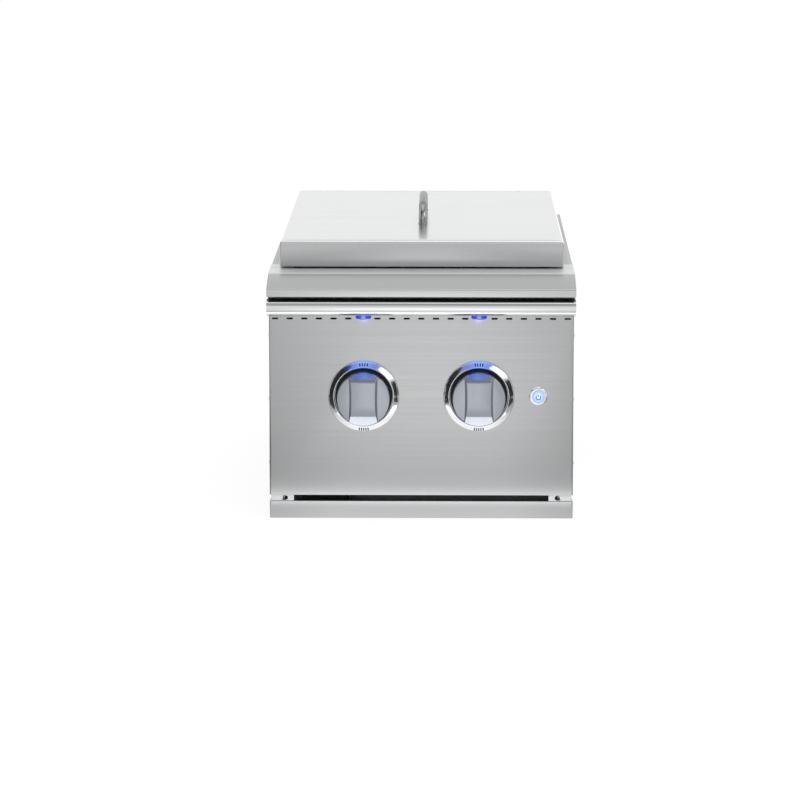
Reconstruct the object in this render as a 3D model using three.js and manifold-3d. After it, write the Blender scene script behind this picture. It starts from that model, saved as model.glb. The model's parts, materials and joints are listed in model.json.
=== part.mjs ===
// Built-in double side burner for an outdoor kitchen counter, in millimetres.
// +Z is up, +X is to the right and +Y is away from the person who stands in front of it.
// The housing hangs in a cut-out by its rim rails, and its front stands before the counter's face.
import * as THREE from "three";
import { mergeVertices } from "three/addons/utils/BufferGeometryUtils.js";
import Module from "manifold-3d";

// Sheet, fits and cuts
const sheet = 1.5;
const fitGap = 0.3;
const overrun = 4;

// Housing that hangs in the counter's cut-out
const housingWidth = 300;
const housingBack = 561;
const floorFront = 16;
const wallFootWidth = 12;
const wallFlangeGap = 2.5;
const ventLength = 44;
const ventHeight = 6;
const ventPitch = 62;
const ventLevel = 42;
const ventRowPitch = 16;
const floorVentCount = 3;
const sideVentCount = 5;
const backVentCount = 3;
const backVentRows = 3;

// Rim that rests on the counter, with the flange turned in over the walls
const rimFlange = 16;
const rimBackFlange = 20;
const rimTop = 265;
const rimOverhang = 10;
const rimLipDrop = 8.5;
const rimSkirtDrop = 20;

// Control panel and bottom rail, folded back at their edges
const panelSetback = 1;
const frontReturn = 20;
const inwardReturn = 10.5;
const railHeight = 19;
const bottomGap = 6.5;
const slotLength = 6.8;
const slotHeight = 2.2;
const slotPitch = 15.8;
const slotDrop = 6;

// Brackets in the gap between the panel and the rail
const bracketInset = 26.5;
const bracketHeight = 46;
const bracketLegReach = 30;
const bracketHoleInset = 16;
const bracketHoleLength = 8;
const bracketHoleHeight = 5;
const bracketHoleRelief = 7;

// Rounded nose above the panel, and the groove between it and the top trim
const noseRadius = 9;
const noseReach = 28.5;
const noseUndersideRise = 3.5;
const grooveHeight = 3;
const grooveDepth = 32;

// Top trim, from the lip up its slope to the ledge before the lid
const lipReach = 28;
const lipHeight = 7.5;
const slopeStart = 22;
const slopeStartRise = 9;
const trimHeight = 20;
const ledgeFront = 20;
const trimEarLength = 30;

// Tub behind the ledge: its front wall, and the level of the deck in it
const tubFront = 64;
const trimLegDrop = 21.5;
const deckDrop = 69;
const deckEdgeHeight = 14;
const deckEdgeGap = 1;
const deckShelfWidth = 12;

// Lamps under the nose, one above each knob
const lampLength = 18;
const lampWidth = 8;
const lampReach = 10.5;
const lampProud = 3;
const lampBarMargin = 4;
const lampBarWall = 2.5;

// Knobs, bezels and the valve shafts
const knobDrop = 90.5;
const knobRingGap = 3.1;
const bezelWidth = 6.9;
const bezelHeight = 8;
const bezelCrown = 3.2;
const knobRadius = 28.4;
const knobReach = 33;
const pushTravel = 3.5;
const pressedKnobGap = 2;
const knobSkirt = 20.5;
const knobWall = 3;
const knobHubRadius = 8.5;
const gripWidth = 30;
const gripWaist = 25;
const shaftRadius = 4;
const shaftFlatDepth = 1.6;
const shaftInKnob = 16;
const panelHoleRadius = 8;

// Valves behind the panel
const bonnetThickness = 6;
const bonnetRadius = 16;
const valveWidth = 26;
const valveHeight = 28;
const valveLength = 30;
const chamberRadius = 8;
const collarThickness = 2.5;
const springRadius = 5.6;
const springWire = 1;
const springTurns = 4;
const pressedTurnGap = 0.4;
const stubRadius = 8;
const jetHexRadius = 6;
const jetHexLength = 8;
const jetTipRadius = 3.5;
const jetTipLength = 5;

// Gas line from the manifold under the valves to the fitting in the back wall
const manifoldDrop = 30;
const manifoldRadius = 10.65;
const manifoldBore = 8;
const manifoldOverhang = 32.7;
const plugRadius = 13;
const plugLength = 14;
const elbowRadius = 12.6;
const elbowLength = 12;
const feedRadius = 8;
const feedWallGap = 26.5;
const shankRadius = 9.7;
const shankInside = 12;
const hexRadius = 14;
const hexThickness = 7;
const inletBore = 5;
const inletBoreDepth = 12;
const inletThread = 9.5;
const clipWidth = 12;
const clipHeight = 34;
const clipWall = 2;

// Burners: mixing tubes with their shutters, heads and caps
const tubeRadius = 11;
const tubeBore = 9;
const tubeMouthGap = 6;
const tubeBoreDepth = 40;
const tubeRise = 4;
const tubeBend = 78;
const collarRadius = 13.2;
const collarLength = 13;
const collarSetback = 2;
const airWindow = 7;
const headRadius = 42;
const headNeck = 14;
const headHeight = 24;
const headFlareLow = 6;
const headFlareHigh = 15;
const headWall = 9;
const headRecess = 12;
const portCount = 16;
const portWidth = 3;
const portDepth = 4;
const capRadius = 37;
const capHeight = 5;
const capEdge = 2;

// Bowls pressed into the deck under the burners, with the spark electrodes in them
const bowlRadius = 70;
const bowlFloor = 60;
const bowlDepth = 8;
const electrodeOffset = 51;
const electrodeRadius = 3;
const electrodeCollar = 5;
const electrodeCollarHeight = 2;
const electrodeBelow = 14;
const electrodeAbove = 20;
const electrodeTip = 1;
const electrodeTipRise = 6;

// Grates of bar and plate on four legs
const grateSideGap = 10.5;
const grateEndGap = 3.25;
const grateGap = 4;
const grateDrop = 1;
const grateFrameDrop = 24;
const grateBar = 8;
const fingerWidth = 7;
const fingerDepth = 10;
const fingerReach = 32;
const fingerSpread = 92;
const fingerFoot = 10;
const grateLegRadius = 4;

// Lid and its handle
const lidSideOverlap = 5;
const lidFrontOverlap = 6;
const lidBackInset = 3;
const lidHeight = 28.9;
const lidLift = 3.1;
const lidFlange = 8;
const bumperRadius = 4;
const bumperInset = 52;
const handleFront = 216;
const handleLength = 134;
const handleHeight = 24;
const handleRadius = 4.6;
const handleBend = 11;
const footRadius = 7;
const footThickness = 1;
const lidScrewRadius = 2.5;
const lidScrewHead = 5;
const lidScrewHeadHeight = 3;
const lidScrewDepth = 7;

// Lamp switch in the panel
const switchRadius = 10.25;
const switchProud = 2.5;
const switchBarrel = 7.8;
const switchDepth = 26;
const buttonRadius = 6.6;
const buttonProud = 1;
const buttonLength = 7;
const buttonTravel = 1.5;
const nutRadius = 12;
const nutThickness = 4;

// Spark box on the floor behind the panel
const sparkFootGap = 6.5;
const sparkWidth = 50;
const sparkFront = 30;
const sparkDepth = 32;
const sparkHeight = 40;
const batteryCapRadius = 11;
const batteryCapHeight = 6;

// What is left of half the housing's width beside a bezel and the switch: the share from the
// middle to the bezel, and from the bezel to the switch
const knobGapShare = 0.4668;
const switchGapShare = 0.3076;

// Steps of round shapes
const roundSides = 20;
const largeSides = 28;
const smallSides = 10;
const hexSides = 6;
const slotEndSteps = 3;
const smallSlotSteps = 2;
const flankSides = 112;
const pathSteps = 26;
const springSteps = 9;
const springWireSides = 5;

// Places that several pieces share
const wallOuter = housingWidth / 2;
const wallInner = wallOuter - sheet;
const rimUnderside = rimTop - sheet;
const rimInner = wallOuter - rimOverhang;
const rimOuter = wallOuter + rimFlange;
const rimReach = housingBack + rimBackFlange;
const panelEdge = rimOuter - panelSetback;
const ledgeTop = rimTop + sheet;
const lipUnderside = ledgeTop - trimHeight;
const noseTop = lipUnderside - grooveHeight;
const noseBottom = noseTop - 2 * noseRadius;
const noseCentre = [noseRadius - noseReach, noseBottom + noseRadius];
const knobHeight = noseBottom - knobDrop;
const panelBottom = railHeight + bottomGap;
const panelTop = noseTop - sheet;
const wallBack = housingBack - sheet;
const rearLipFront = wallBack - rimOverhang - sheet;
const baffleBack = tubFront + sheet;
const tubMiddle = (baffleBack + rearLipFront) / 2;
const grateLength = (rearLipFront - baffleBack - grateGap) / 2 - grateEndGap;
const burnerShift = (grateLength + grateGap) / 2;
const burnerPlaces = { front: tubMiddle - burnerShift, rear: tubMiddle + burnerShift };
const grateWidth = 2 * (wallInner - grateSideGap);
const grateTop = rimTop - grateDrop;
const deckLevel = rimTop - deckDrop;
const deckTop = deckLevel + sheet;
const tubeTop = deckLevel + tubeRise;
const bezelOpening = knobRadius + knobRingGap;
const bezelRadius = bezelOpening + bezelWidth;
const panelRoom = wallInner - 2 * bezelRadius - 2 * switchRadius;
const knobSpacing = 2 * (knobGapShare * panelRoom + bezelRadius);
const switchOffset = knobSpacing / 2 + bezelRadius + switchGapShare * panelRoom + switchRadius;
const valveFront = sheet + fitGap + bonnetThickness;
const valveBack = valveFront + valveLength;
const manifoldLevel = knobHeight - manifoldDrop;
const manifoldDepth = valveFront + valveLength / 2;
const feedOffset = wallInner - feedWallGap;
const manifoldRight = feedOffset - elbowLength;
const manifoldLeft = knobSpacing / 2 + manifoldOverhang;
const tubeMouth = valveBack + jetHexLength + jetTipLength - tubeMouthGap;
const lidBottom = rimTop + lidLift;
const lidTop = lidBottom + lidHeight;
const lidWidth = housingWidth + 2 * lidSideOverlap;
const lidFront = tubFront - lidFrontOverlap;
const lidBack = housingBack - lidBackInset;
const knobBackGap = pushTravel + pressedKnobGap;
const sides = { left: -1, right: 1 };

const wasm = await Module();
wasm.setup();

// A closed geometry as a solid that can be joined and cut, its faces wound outwards
function solidOf(geometry) {
  const plain = geometry.index ? geometry.toNonIndexed() : geometry.clone();
  plain.deleteAttribute("normal");
  plain.deleteAttribute("uv");
  const merged = mergeVertices(plain);
  const triVerts = Uint32Array.from(merged.index.array);
  if (volumeOf(merged) < 0) triVerts.reverse();
  const vertProperties = Float32Array.from(merged.attributes.position.array);
  return new wasm.Manifold(new wasm.Mesh({ numProp: 3, vertProperties, triVerts }));
}

// Six times the volume that a geometry's triangles close, negative if they are wound inwards
function volumeOf(geometry) {
  const corners = [new THREE.Vector3(), new THREE.Vector3(), new THREE.Vector3()];
  let volume = 0;
  for (let first = 0; first < geometry.index.count; first += 3) {
    corners.forEach((corner, step) => {
      corner.fromBufferAttribute(geometry.attributes.position, geometry.index.getX(first + step));
    });
    volume += corners[0].dot(corners[1].cross(corners[2]));
  }
  return volume;
}

function geometryOf(solid) {
  const { vertProperties, triVerts } = solid.getMesh();
  const geometry = new THREE.BufferGeometry();
  geometry.setAttribute("position", new THREE.BufferAttribute(vertProperties, 3));
  geometry.setIndex(new THREE.BufferAttribute(triVerts, 1));
  geometry.computeVertexNormals();
  return geometry;
}

function join(...solids) {
  return solids.flat().reduce((whole, solid) => whole.add(solid));
}

function cut(solid, ...cutters) {
  return cutters.flat().reduce((rest, cutter) => rest.subtract(cutter), solid);
}

// Moves a unit shape's two ends along an axis onto the low and high values, so that
// pieces with the same value meet exactly
function stretch(geometry, axis, [low, high]) {
  const position = geometry.attributes.position;
  const component = ["x", "y", "z"].indexOf(axis);
  geometry.computeBoundingBox();
  const middle = (geometry.boundingBox.min[axis] + geometry.boundingBox.max[axis]) / 2;
  for (let index = 0; index < position.count; index += 1) {
    const value = position.getComponent(index, component) < middle ? low : high;
    position.setComponent(index, component, value);
  }
  return geometry;
}

// A block between low and high values along X, Y and Z
function block(x, y, z) {
  const geometry = new THREE.BoxGeometry(1, 1, 1);
  stretch(geometry, "x", x);
  stretch(geometry, "y", y);
  return solidOf(stretch(geometry, "z", z));
}

// Turns a geometry made around Y so that it lies along the axis, through a centre given
// by its two other coordinates in the order X, Y, Z
function layAlong(geometry, axis, centre) {
  if (axis === "x") geometry.rotateZ(-Math.PI / 2).translate(0, centre[0], centre[1]);
  if (axis === "y") geometry.translate(centre[0], 0, centre[1]);
  if (axis === "z") geometry.rotateX(Math.PI / 2).translate(centre[0], centre[1], 0);
  return geometry;
}

function rod(axis, centre, radius, span, steps = roundSides) {
  const geometry = layAlong(new THREE.CylinderGeometry(radius, radius, 1, steps), axis, centre);
  return solidOf(stretch(geometry, axis, span));
}

// A round hole's cutter, longer than the wall that it goes through
function hole(axis, centre, radius, span, steps = roundSides) {
  return rod(axis, centre, radius, [span[0] - overrun, span[1] + overrun], steps);
}

function ring(axis, centre, outer, inner, span, steps = roundSides) {
  return cut(rod(axis, centre, outer, span, steps), hole(axis, centre, inner, span, steps));
}

// A body turned around the axis from a profile of radius and height
function turned(axis, centre, profile, steps = largeSides) {
  const points = profile.map(([radius, height]) => new THREE.Vector2(radius, height));
  return solidOf(layAlong(new THREE.LatheGeometry(points, steps), axis, centre));
}

// Arc points around a centre, in degrees, both ends included
function arc(centre, radius, from, to, steps) {
  return Array.from({ length: steps + 1 }, (_, step) => {
    const angle = THREE.MathUtils.degToRad(from + ((to - from) * step) / steps);
    return [centre[0] + radius * Math.cos(angle), centre[1] + radius * Math.sin(angle)];
  });
}

// An outline extruded along X (points are Y, Z), along Y (X, Z) or along Z (X, Y)
function extruded(axis, outline, span) {
  const shape = new THREE.Shape(outline.map(([a, b]) => new THREE.Vector2(a, b)));
  const geometry = new THREE.ExtrudeGeometry(shape, { depth: 1, bevelEnabled: false });
  const unitX = new THREE.Vector3(1, 0, 0);
  const unitY = new THREE.Vector3(0, 1, 0);
  const unitZ = new THREE.Vector3(0, 0, 1);
  const turn = new THREE.Matrix4();
  if (axis === "x") turn.makeBasis(unitY, unitZ, unitX);
  if (axis === "y") turn.makeBasis(unitX, unitZ, unitY.negate());
  return solidOf(stretch(geometry.applyMatrix4(turn), axis, span));
}

// The closed outline of a sheet that follows a path, with its thickness to the left of it
function folded(path, thickness = sheet) {
  const points = path.map(([a, b]) => new THREE.Vector2(a, b));
  const lefts = points.slice(1).map((point, step) => {
    const along = point.clone().sub(points[step]).normalize();
    return new THREE.Vector2(-along.y, along.x);
  });
  const inner = points.map((point, step) => {
    const before = lefts[Math.max(step - 1, 0)];
    const after = lefts[Math.min(step, lefts.length - 1)];
    const reach = thickness / (1 + before.dot(after));
    return point.clone().add(before.clone().add(after).multiplyScalar(reach));
  });
  return [...points, ...inner.reverse()].map((point) => [point.x, point.y]);
}

// A slot's outline with round ends, long along the first coordinate
function slotOutline(centre, length, height, steps = slotEndSteps) {
  const radius = height / 2;
  const reach = length / 2 - radius;
  return [
    ...arc([centre[0] + reach, centre[1]], radius, -90, 90, steps),
    ...arc([centre[0] - reach, centre[1]], radius, 90, 270, steps),
  ];
}

// A round bar swept along a path of lines and bends
function swept(path, radius, steps, sidesAround) {
  const outline = arc([0, 0], radius, 0, 360, sidesAround).slice(0, -1);
  const shape = new THREE.Shape(outline.map(([a, b]) => new THREE.Vector2(a, b)));
  return solidOf(new THREE.ExtrudeGeometry(shape, { steps, extrudePath: path, bevelEnabled: false }));
}

function pathOf(...curves) {
  const path = new THREE.CurvePath();
  curves.forEach((curve) => path.add(curve));
  return path;
}

// Evenly spaced places around the middle of a row
function row(count, pitch, middle = 0) {
  return Array.from({ length: count }, (_, step) => middle + (step - (count - 1) / 2) * pitch);
}

const finishes = {
  brushedSteel: { color: "#b4b6b8", roughness: 0.34, metalness: 1 },
  polishedSteel: { color: "#c9cbcd", roughness: 0.16, metalness: 1 },
  plainSteel: { color: "#a7a9ab", roughness: 0.42, metalness: 1 },
  chrome: { color: "#dcdee0", roughness: 0.07, metalness: 1 },
  knobMetal: { color: "#b9bec8", roughness: 0.22, metalness: 1 },
  brass: { color: "#b08d4a", roughness: 0.35, metalness: 1 },
  castIron: { color: "#2a2a2b", roughness: 0.7, metalness: 0.6 },
  blackPlastic: { color: "#1b1c1e", roughness: 0.5, metalness: 0 },
  ceramic: { color: "#ecebe4", roughness: 0.4, metalness: 0 },
  rubber: { color: "#35363a", roughness: 0.85, metalness: 0 },
  blueLens: { color: "#3d6bff", roughness: 0.2, metalness: 0 },
};

// The origin is under the middle of the whole, so the panel's face lies before it
const burner = new THREE.Group();
burner.position.y = (knobReach - rimReach) / 2;

function put(name, solid, finish, parent = burner) {
  const mesh = new THREE.Mesh(geometryOf(solid), new THREE.MeshStandardMaterial(finishes[finish]));
  mesh.name = name;
  parent.add(mesh);
}

// Low and high values on one side of the middle, the smaller one first
function mirrored(side, near, far) {
  return side > 0 ? [near, far] : [-far, -near];
}

// Floor pan and walls

function floorPan() {
  const floor = block([-wallOuter, wallOuter], [floorFront, housingBack], [0, sheet]);
  const vents = row(floorVentCount, ventPitch, housingBack / 2).flatMap((y) =>
    row(2, housingWidth / 2).map((x) => {
      return extruded("z", slotOutline([x, y], ventLength, ventHeight), [-overrun, sheet + overrun]);
    }),
  );
  return cut(floor, vents);
}

function bracketRelief(side) {
  const inner = panelEdge - bracketHoleInset - bracketHoleRelief;
  const level = railHeight + bottomGap / 2;
  const front = 2 * sheet;
  return block(
    mirrored(side, inner, inner + 2 * bracketHoleRelief),
    [front, front + bracketHoleRelief],
    [level - bracketHoleRelief, level + bracketHoleRelief],
  );
}

function sideWall(side) {
  const front = 2 * sheet;
  const outline = [
    [front, sheet],
    [wallBack, sheet],
    [wallBack, rimUnderside],
    [tubFront + fitGap, rimUnderside],
    [tubFront + fitGap, rimTop],
    [frontReturn + fitGap, rimTop],
    [frontReturn + fitGap, panelTop - sheet - fitGap],
    [front, panelTop - sheet - fitGap],
  ];
  const wall = extruded("x", outline, mirrored(side, wallInner, wallOuter));
  const foot = block(
    mirrored(side, wallInner - wallFootWidth, wallInner),
    [floorFront, wallBack],
    [sheet, 2 * sheet],
  );
  const flange = block(
    mirrored(side, wallInner, panelEdge - sheet - wallFlangeGap),
    [sheet, front],
    [bracketHeight + fitGap, panelTop - sheet - fitGap],
  );
  const shelf = block(
    mirrored(side, wallInner - deckShelfWidth, wallInner),
    [baffleBack + deckShelfWidth, wallBack - deckShelfWidth],
    [deckLevel - sheet, deckLevel],
  );
  const vents = row(sideVentCount, ventPitch, housingBack / 2).map((y) => {
    const vent = slotOutline([y, ventLevel], ventLength, ventHeight);
    return extruded("x", vent, mirrored(side, wallInner - overrun, wallOuter + overrun));
  });
  return cut(join(wall, foot, flange, shelf), vents, bracketRelief(side));
}

function backWall() {
  const wall = block([-wallOuter, wallOuter], [wallBack, housingBack], [sheet, rimUnderside]);
  const through = [wallBack - overrun, housingBack + overrun];
  const vents = row(backVentCount, ventPitch).flatMap((x) =>
    row(backVentRows, ventRowPitch, ventLevel + ventRowPitch).map((z) => {
      return extruded("y", slotOutline([x, z], ventLength, ventHeight), through);
    }),
  );
  const inlet = hole("y", [feedOffset, manifoldLevel], shankRadius + fitGap, [wallBack, housingBack]);
  return cut(wall, vents, inlet);
}

function frontBaffle() {
  const edge = wallInner - fitGap;
  const span = [tubFront, baffleBack];
  const plate = block([-edge, edge], span, [2 * sheet + fitGap, rimUnderside - rimLipDrop - fitGap]);
  const tubes = [-1, 1].map((side) => {
    return hole("y", [(side * knobSpacing) / 2, knobHeight], tubeRadius + fitGap, span);
  });
  return cut(plate, tubes, hole("y", [feedOffset, manifoldLevel], feedRadius + fitGap, span));
}

put("floor_pan", floorPan(), "plainSteel");
put("back_wall", backWall(), "plainSteel");
put("front_baffle", frontBaffle(), "plainSteel");
for (const [name, side] of Object.entries(sides)) {
  put(`${name}_side_wall`, sideWall(side), "plainSteel");
}

// Rim rails on the walls' top edges, with skirts that stand against the walls

function sideRimRail(side) {
  const span = [tubFront + fitGap, wallBack - rimOverhang - sheet - fitGap];
  const top = block(mirrored(side, rimInner, rimOuter), [span[0], wallBack - sheet], [rimUnderside, rimTop]);
  const lip = block(mirrored(side, rimInner, rimInner + sheet), span, [rimUnderside - rimLipDrop, rimUnderside]);
  const skirt = block(
    mirrored(side, wallOuter, wallOuter + sheet),
    [span[0], wallBack - sheet],
    [rimUnderside - rimSkirtDrop, rimUnderside],
  );
  const corner = block(
    mirrored(side, rimInner - overrun, wallInner),
    [rearLipFront - fitGap, wallBack],
    [rimUnderside - rimLipDrop - overrun, rimTop + overrun],
  );
  return cut(join(top, lip, skirt), corner);
}

function rearRimRail() {
  const inner = wallInner - fitGap;
  const strip = block([-rimOuter, rimOuter], [wallBack - sheet + fitGap, rimReach], [rimUnderside, rimTop]);
  const tongue = block([-inner, inner], [rearLipFront, wallBack], [rimUnderside, rimTop]);
  const lip = block(
    [-rimInner, rimInner],
    [rearLipFront, rearLipFront + sheet],
    [rimUnderside - rimLipDrop, rimUnderside],
  );
  const skirt = block(
    [-wallInner, wallInner],
    [housingBack, housingBack + sheet],
    [rimUnderside - rimSkirtDrop, rimUnderside],
  );
  return join(strip, tongue, lip, skirt);
}

for (const [name, side] of Object.entries(sides)) {
  put(`${name}_rim_rail`, sideRimRail(side), "brushedSteel");
}
put("rear_rim_rail", rearRimRail(), "brushedSteel");

// Control panel with its vent slots, bottom rail, and the brackets between them

function frontSheet(low, high, openings) {
  const edge = panelEdge;
  const inner = edge - bracketInset - fitGap;
  const face = block([-edge, edge], [0, sheet], [low, high]);
  const returns = [-1, 1].map((side) => {
    return block(mirrored(side, edge - sheet, edge), [sheet, frontReturn], [low, high]);
  });
  const inward = openings.map(([from, to, depth]) => block([-inner, inner], [sheet, depth], [from, to]));
  return join(face, returns, inward);
}

function controlPanel() {
  const top = [panelTop - sheet, panelTop, frontReturn];
  const bottom = [panelBottom, panelBottom + sheet, sheet + inwardReturn];
  const through = [0, sheet];
  const knobs = [-1, 1].map((side) => {
    return hole("y", [(side * knobSpacing) / 2, knobHeight], panelHoleRadius, through);
  });
  const button = hole("y", [switchOffset, knobHeight], switchBarrel + fitGap, through);
  const count = Math.floor(panelEdge / slotPitch) * 2 + 1;
  const slots = row(count, slotPitch).map((x) => {
    const outline = slotOutline([x, noseBottom - slotDrop], slotLength, slotHeight, smallSlotSteps);
    return extruded("y", outline, [-overrun, sheet + overrun]);
  });
  return cut(frontSheet(panelBottom, panelTop, [top, bottom]), knobs, button, slots);
}

function bottomRail() {
  const top = [railHeight - sheet, railHeight, sheet + inwardReturn];
  const bottom = [0, sheet, floorFront - fitGap];
  return frontSheet(0, railHeight, [top, bottom]);
}

function panelBracket(side) {
  const edge = panelEdge;
  const low = sheet + fitGap;
  const plate = block(
    mirrored(side, edge - bracketInset, edge - sheet - fitGap),
    [sheet, 2 * sheet],
    [low, bracketHeight],
  );
  const leg = block(
    mirrored(side, wallOuter, wallOuter + sheet),
    [2 * sheet, bracketLegReach],
    [low, bracketHeight],
  );
  const centre = [side * (edge - bracketHoleInset), railHeight + bottomGap / 2];
  const outline = slotOutline(centre, bracketHoleLength, bracketHoleHeight);
  const slot = extruded("y", outline, [sheet - overrun, 2 * sheet + overrun]);
  return cut(join(plate, cut(leg, bracketRelief(side))), slot);
}

put("control_panel", controlPanel(), "brushedSteel");
put("bottom_rail", bottomRail(), "brushedSteel");
for (const [name, side] of Object.entries(sides)) {
  put(`${name}_panel_bracket`, panelBracket(side), "brushedSteel");
}

// Rounded nose and top trim, each a folded sheet with welded end plates

function noseOutline() {
  return [
    [frontReturn, noseTop],
    ...arc(noseCentre, noseRadius, 90, 270, smallSides),
    [-fitGap, noseBottom - noseUndersideRise],
  ];
}

function lampOutline(side, margin) {
  const centre = [(side * knobSpacing) / 2, -lampReach];
  return slotOutline(centre, lampLength + 2 * margin, lampWidth + 2 * margin);
}

function frontNose() {
  const edge = rimOuter;
  const skin = extruded("x", folded(noseOutline()), [-edge, edge]);
  const closed = [...noseOutline(), [-fitGap, noseTop]].slice(1);
  const ends = [-1, 1].map((side) => extruded("x", closed, mirrored(side, edge - sheet, edge)));
  const lamps = [-1, 1].map((side) => {
    return extruded("z", lampOutline(side, fitGap), [noseBottom - noseRadius, noseBottom + noseRadius]);
  });
  return cut(join(skin, ends), lamps);
}

function trimOutline() {
  return [
    [tubFront, ledgeTop - trimLegDrop],
    [tubFront, ledgeTop],
    [ledgeFront, ledgeTop],
    [-slopeStart, lipUnderside + slopeStartRise],
    [-(slopeStart + 2 * lipReach) / 3, lipUnderside + (slopeStartRise + lipHeight) / 2 - sheet / 4],
    [-lipReach, lipUnderside + lipHeight - sheet],
    [-lipReach, lipUnderside],
    [grooveDepth - lipReach, lipUnderside],
    [grooveDepth - lipReach, noseTop],
  ];
}

function frontTrim() {
  const edge = rimOuter;
  const skin = extruded("x", folded(trimOutline()), [-edge, edge]);
  const face = trimOutline().slice(2, 7);
  const closed = [...face, [ledgeFront, lipUnderside]];
  const ends = [-1, 1].map((side) => extruded("x", closed, mirrored(side, edge - sheet, edge)));
  const ears = [-1, 1].map((side) => {
    return block(mirrored(side, rimInner, edge), [tubFront, tubFront + trimEarLength], [rimTop, ledgeTop]);
  });
  const besideLeg = [-1, 1].map((side) => {
    return block(
      mirrored(side, wallInner - fitGap, edge + overrun),
      [tubFront - sheet - fitGap, tubFront],
      [ledgeTop - trimLegDrop - overrun, rimTop],
    );
  });
  return join(cut(skin, besideLeg), ends, ears);
}

put("front_nose", frontNose(), "polishedSteel");
put("front_trim", frontTrim(), "brushedSteel");

// Lamps in the nose: two lenses through its underside, and the lamp bar that lies on both

const lampTop = noseTop - sheet;
const lensTop = noseBottom + sheet + lampBarWall;

function lampLens(side) {
  const span = [noseBottom - noseUndersideRise / 2 - lampProud, lensTop];
  return extruded("z", lampOutline(side, 0), span);
}

function lampBar() {
  const x = knobSpacing / 2 + lampLength / 2 + lampBarMargin;
  const halfWidth = lampWidth / 2 + lampBarMargin;
  return block([-x, x], [-lampReach - halfWidth, -lampReach + halfWidth], [lensTop, lampTop]);
}

for (const [name, side] of Object.entries(sides)) {
  put(`${name}_lamp_lens`, lampLens(side), "blueLens");
}
put("lamp_bar", lampBar(), "blackPlastic");

// Gas line: the manifold with its closed end and elbow, the feed pipe with its nut, and the
// fitting that goes through the back wall into that nut

const elbowEnd = manifoldDepth + 2 * elbowRadius;
const shankFront = wallBack - shankInside;

function gasManifold() {
  const centre = [manifoldDepth, manifoldLevel];
  const pipe = ring("x", centre, manifoldRadius, manifoldBore, [-manifoldLeft, manifoldRight]);
  const plug = rod("x", centre, plugRadius, [-manifoldLeft - plugLength, -manifoldLeft], hexSides);
  const knuckle = new THREE.SphereGeometry(elbowRadius, roundSides, smallSides);
  knuckle.rotateX(Math.PI / 2).translate(feedOffset, ...centre);
  const elbow = join(
    rod("x", centre, elbowRadius, [manifoldRight, feedOffset]),
    solidOf(knuckle),
    rod("y", [feedOffset, manifoldLevel], elbowRadius, [manifoldDepth, elbowEnd]),
  );
  const bore = rod("y", [feedOffset, manifoldLevel], manifoldBore / 2, [manifoldDepth, elbowEnd + overrun]);
  const link = rod("x", centre, manifoldBore / 2, [manifoldRight - overrun, feedOffset]);
  return cut(join(pipe, plug, elbow), bore, link);
}

function feedPipe() {
  const centre = [feedOffset, manifoldLevel];
  const pipe = rod("y", centre, feedRadius, [elbowEnd, shankFront]);
  const nut = rod("y", centre, hexRadius, [shankFront - hexThickness, wallBack], hexSides);
  return cut(join(pipe, nut), rod("y", centre, shankRadius + fitGap, [shankFront - fitGap, wallBack + overrun]));
}

function inletFitting() {
  const centre = [feedOffset, manifoldLevel];
  const end = rimReach - fitGap;
  const fitting = join(
    rod("y", centre, shankRadius, [shankFront, housingBack]),
    rod("y", centre, hexRadius, [housingBack, housingBack + hexThickness], hexSides),
    rod("y", centre, inletThread, [housingBack + hexThickness, end]),
  );
  return cut(fitting, rod("y", centre, inletBore, [end - inletBoreDepth, end + overrun]));
}

// A strap from the baffle that holds the manifold in a ring
function manifoldClip() {
  const x = [-clipWidth / 2, clipWidth / 2];
  const centre = [manifoldDepth, manifoldLevel];
  const outer = manifoldRadius + fitGap + clipWall;
  const plate = block(
    x,
    [tubFront - clipWall, tubFront],
    [manifoldLevel - clipHeight / 2, manifoldLevel + clipHeight / 2],
  );
  const arm = block(x, [manifoldDepth, tubFront - clipWall], [manifoldLevel - clipWall, manifoldLevel + clipWall]);
  return cut(join(plate, arm, rod("x", centre, outer, x)), hole("x", centre, manifoldRadius + fitGap, x));
}

put("gas_manifold", gasManifold(), "plainSteel");
put("gas_feed_pipe", feedPipe(), "plainSteel");
put("inlet_fitting", inletFitting(), "brass");
put("manifold_clip", manifoldClip(), "plainSteel");

// Knobs, bezels and valves, each around its own axis in a group at the valve's place

class SpringCurve extends THREE.Curve {
  constructor(radius, turns, from, to) {
    super();
    Object.assign(this, { radius, turns, from, to });
  }

  getPoint(share, target = new THREE.Vector3()) {
    const angle = share * this.turns * 2 * Math.PI;
    const along = this.from + (this.to - this.from) * share;
    return target.set(this.radius * Math.cos(angle), along, this.radius * Math.sin(angle));
  }
}

const shaftFront = -knobBackGap - shaftInKnob;
const shaftBack = valveFront + bonnetThickness;
const collarBack = shaftBack + fitGap + collarThickness;
const springFront = collarBack + fitGap;
const springBack = springFront + springTurns * (springWire + pressedTurnGap) + pushTravel;
const chamberBack = springBack + fitGap;

// A shaft with one flat on its upper side, with an even allowance all round
function flatShaft(allowance, span) {
  const radius = shaftRadius + allowance;
  const flat = shaftRadius - shaftFlatDepth + allowance;
  const above = block([-radius, radius], [span[0] - overrun, span[1] + overrun], [flat, radius + overrun]);
  return cut(rod("y", [0, 0], radius, span), above);
}

function bezel() {
  const outer = bezelRadius;
  const inner = bezelOpening;
  const width = outer - inner;
  return turned("y", [0, 0], [
    [inner, 0],
    [outer, 0],
    [outer, -bezelHeight / 4],
    [outer - width / 6, -bezelHeight / 2 - bezelCrown / 4],
    [outer - width / 2, -bezelHeight + bezelCrown / 4],
    [inner + width / 6, -bezelHeight],
    [inner, -bezelHeight + bezelCrown / 4],
    [inner, 0],
  ]);
}

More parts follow.
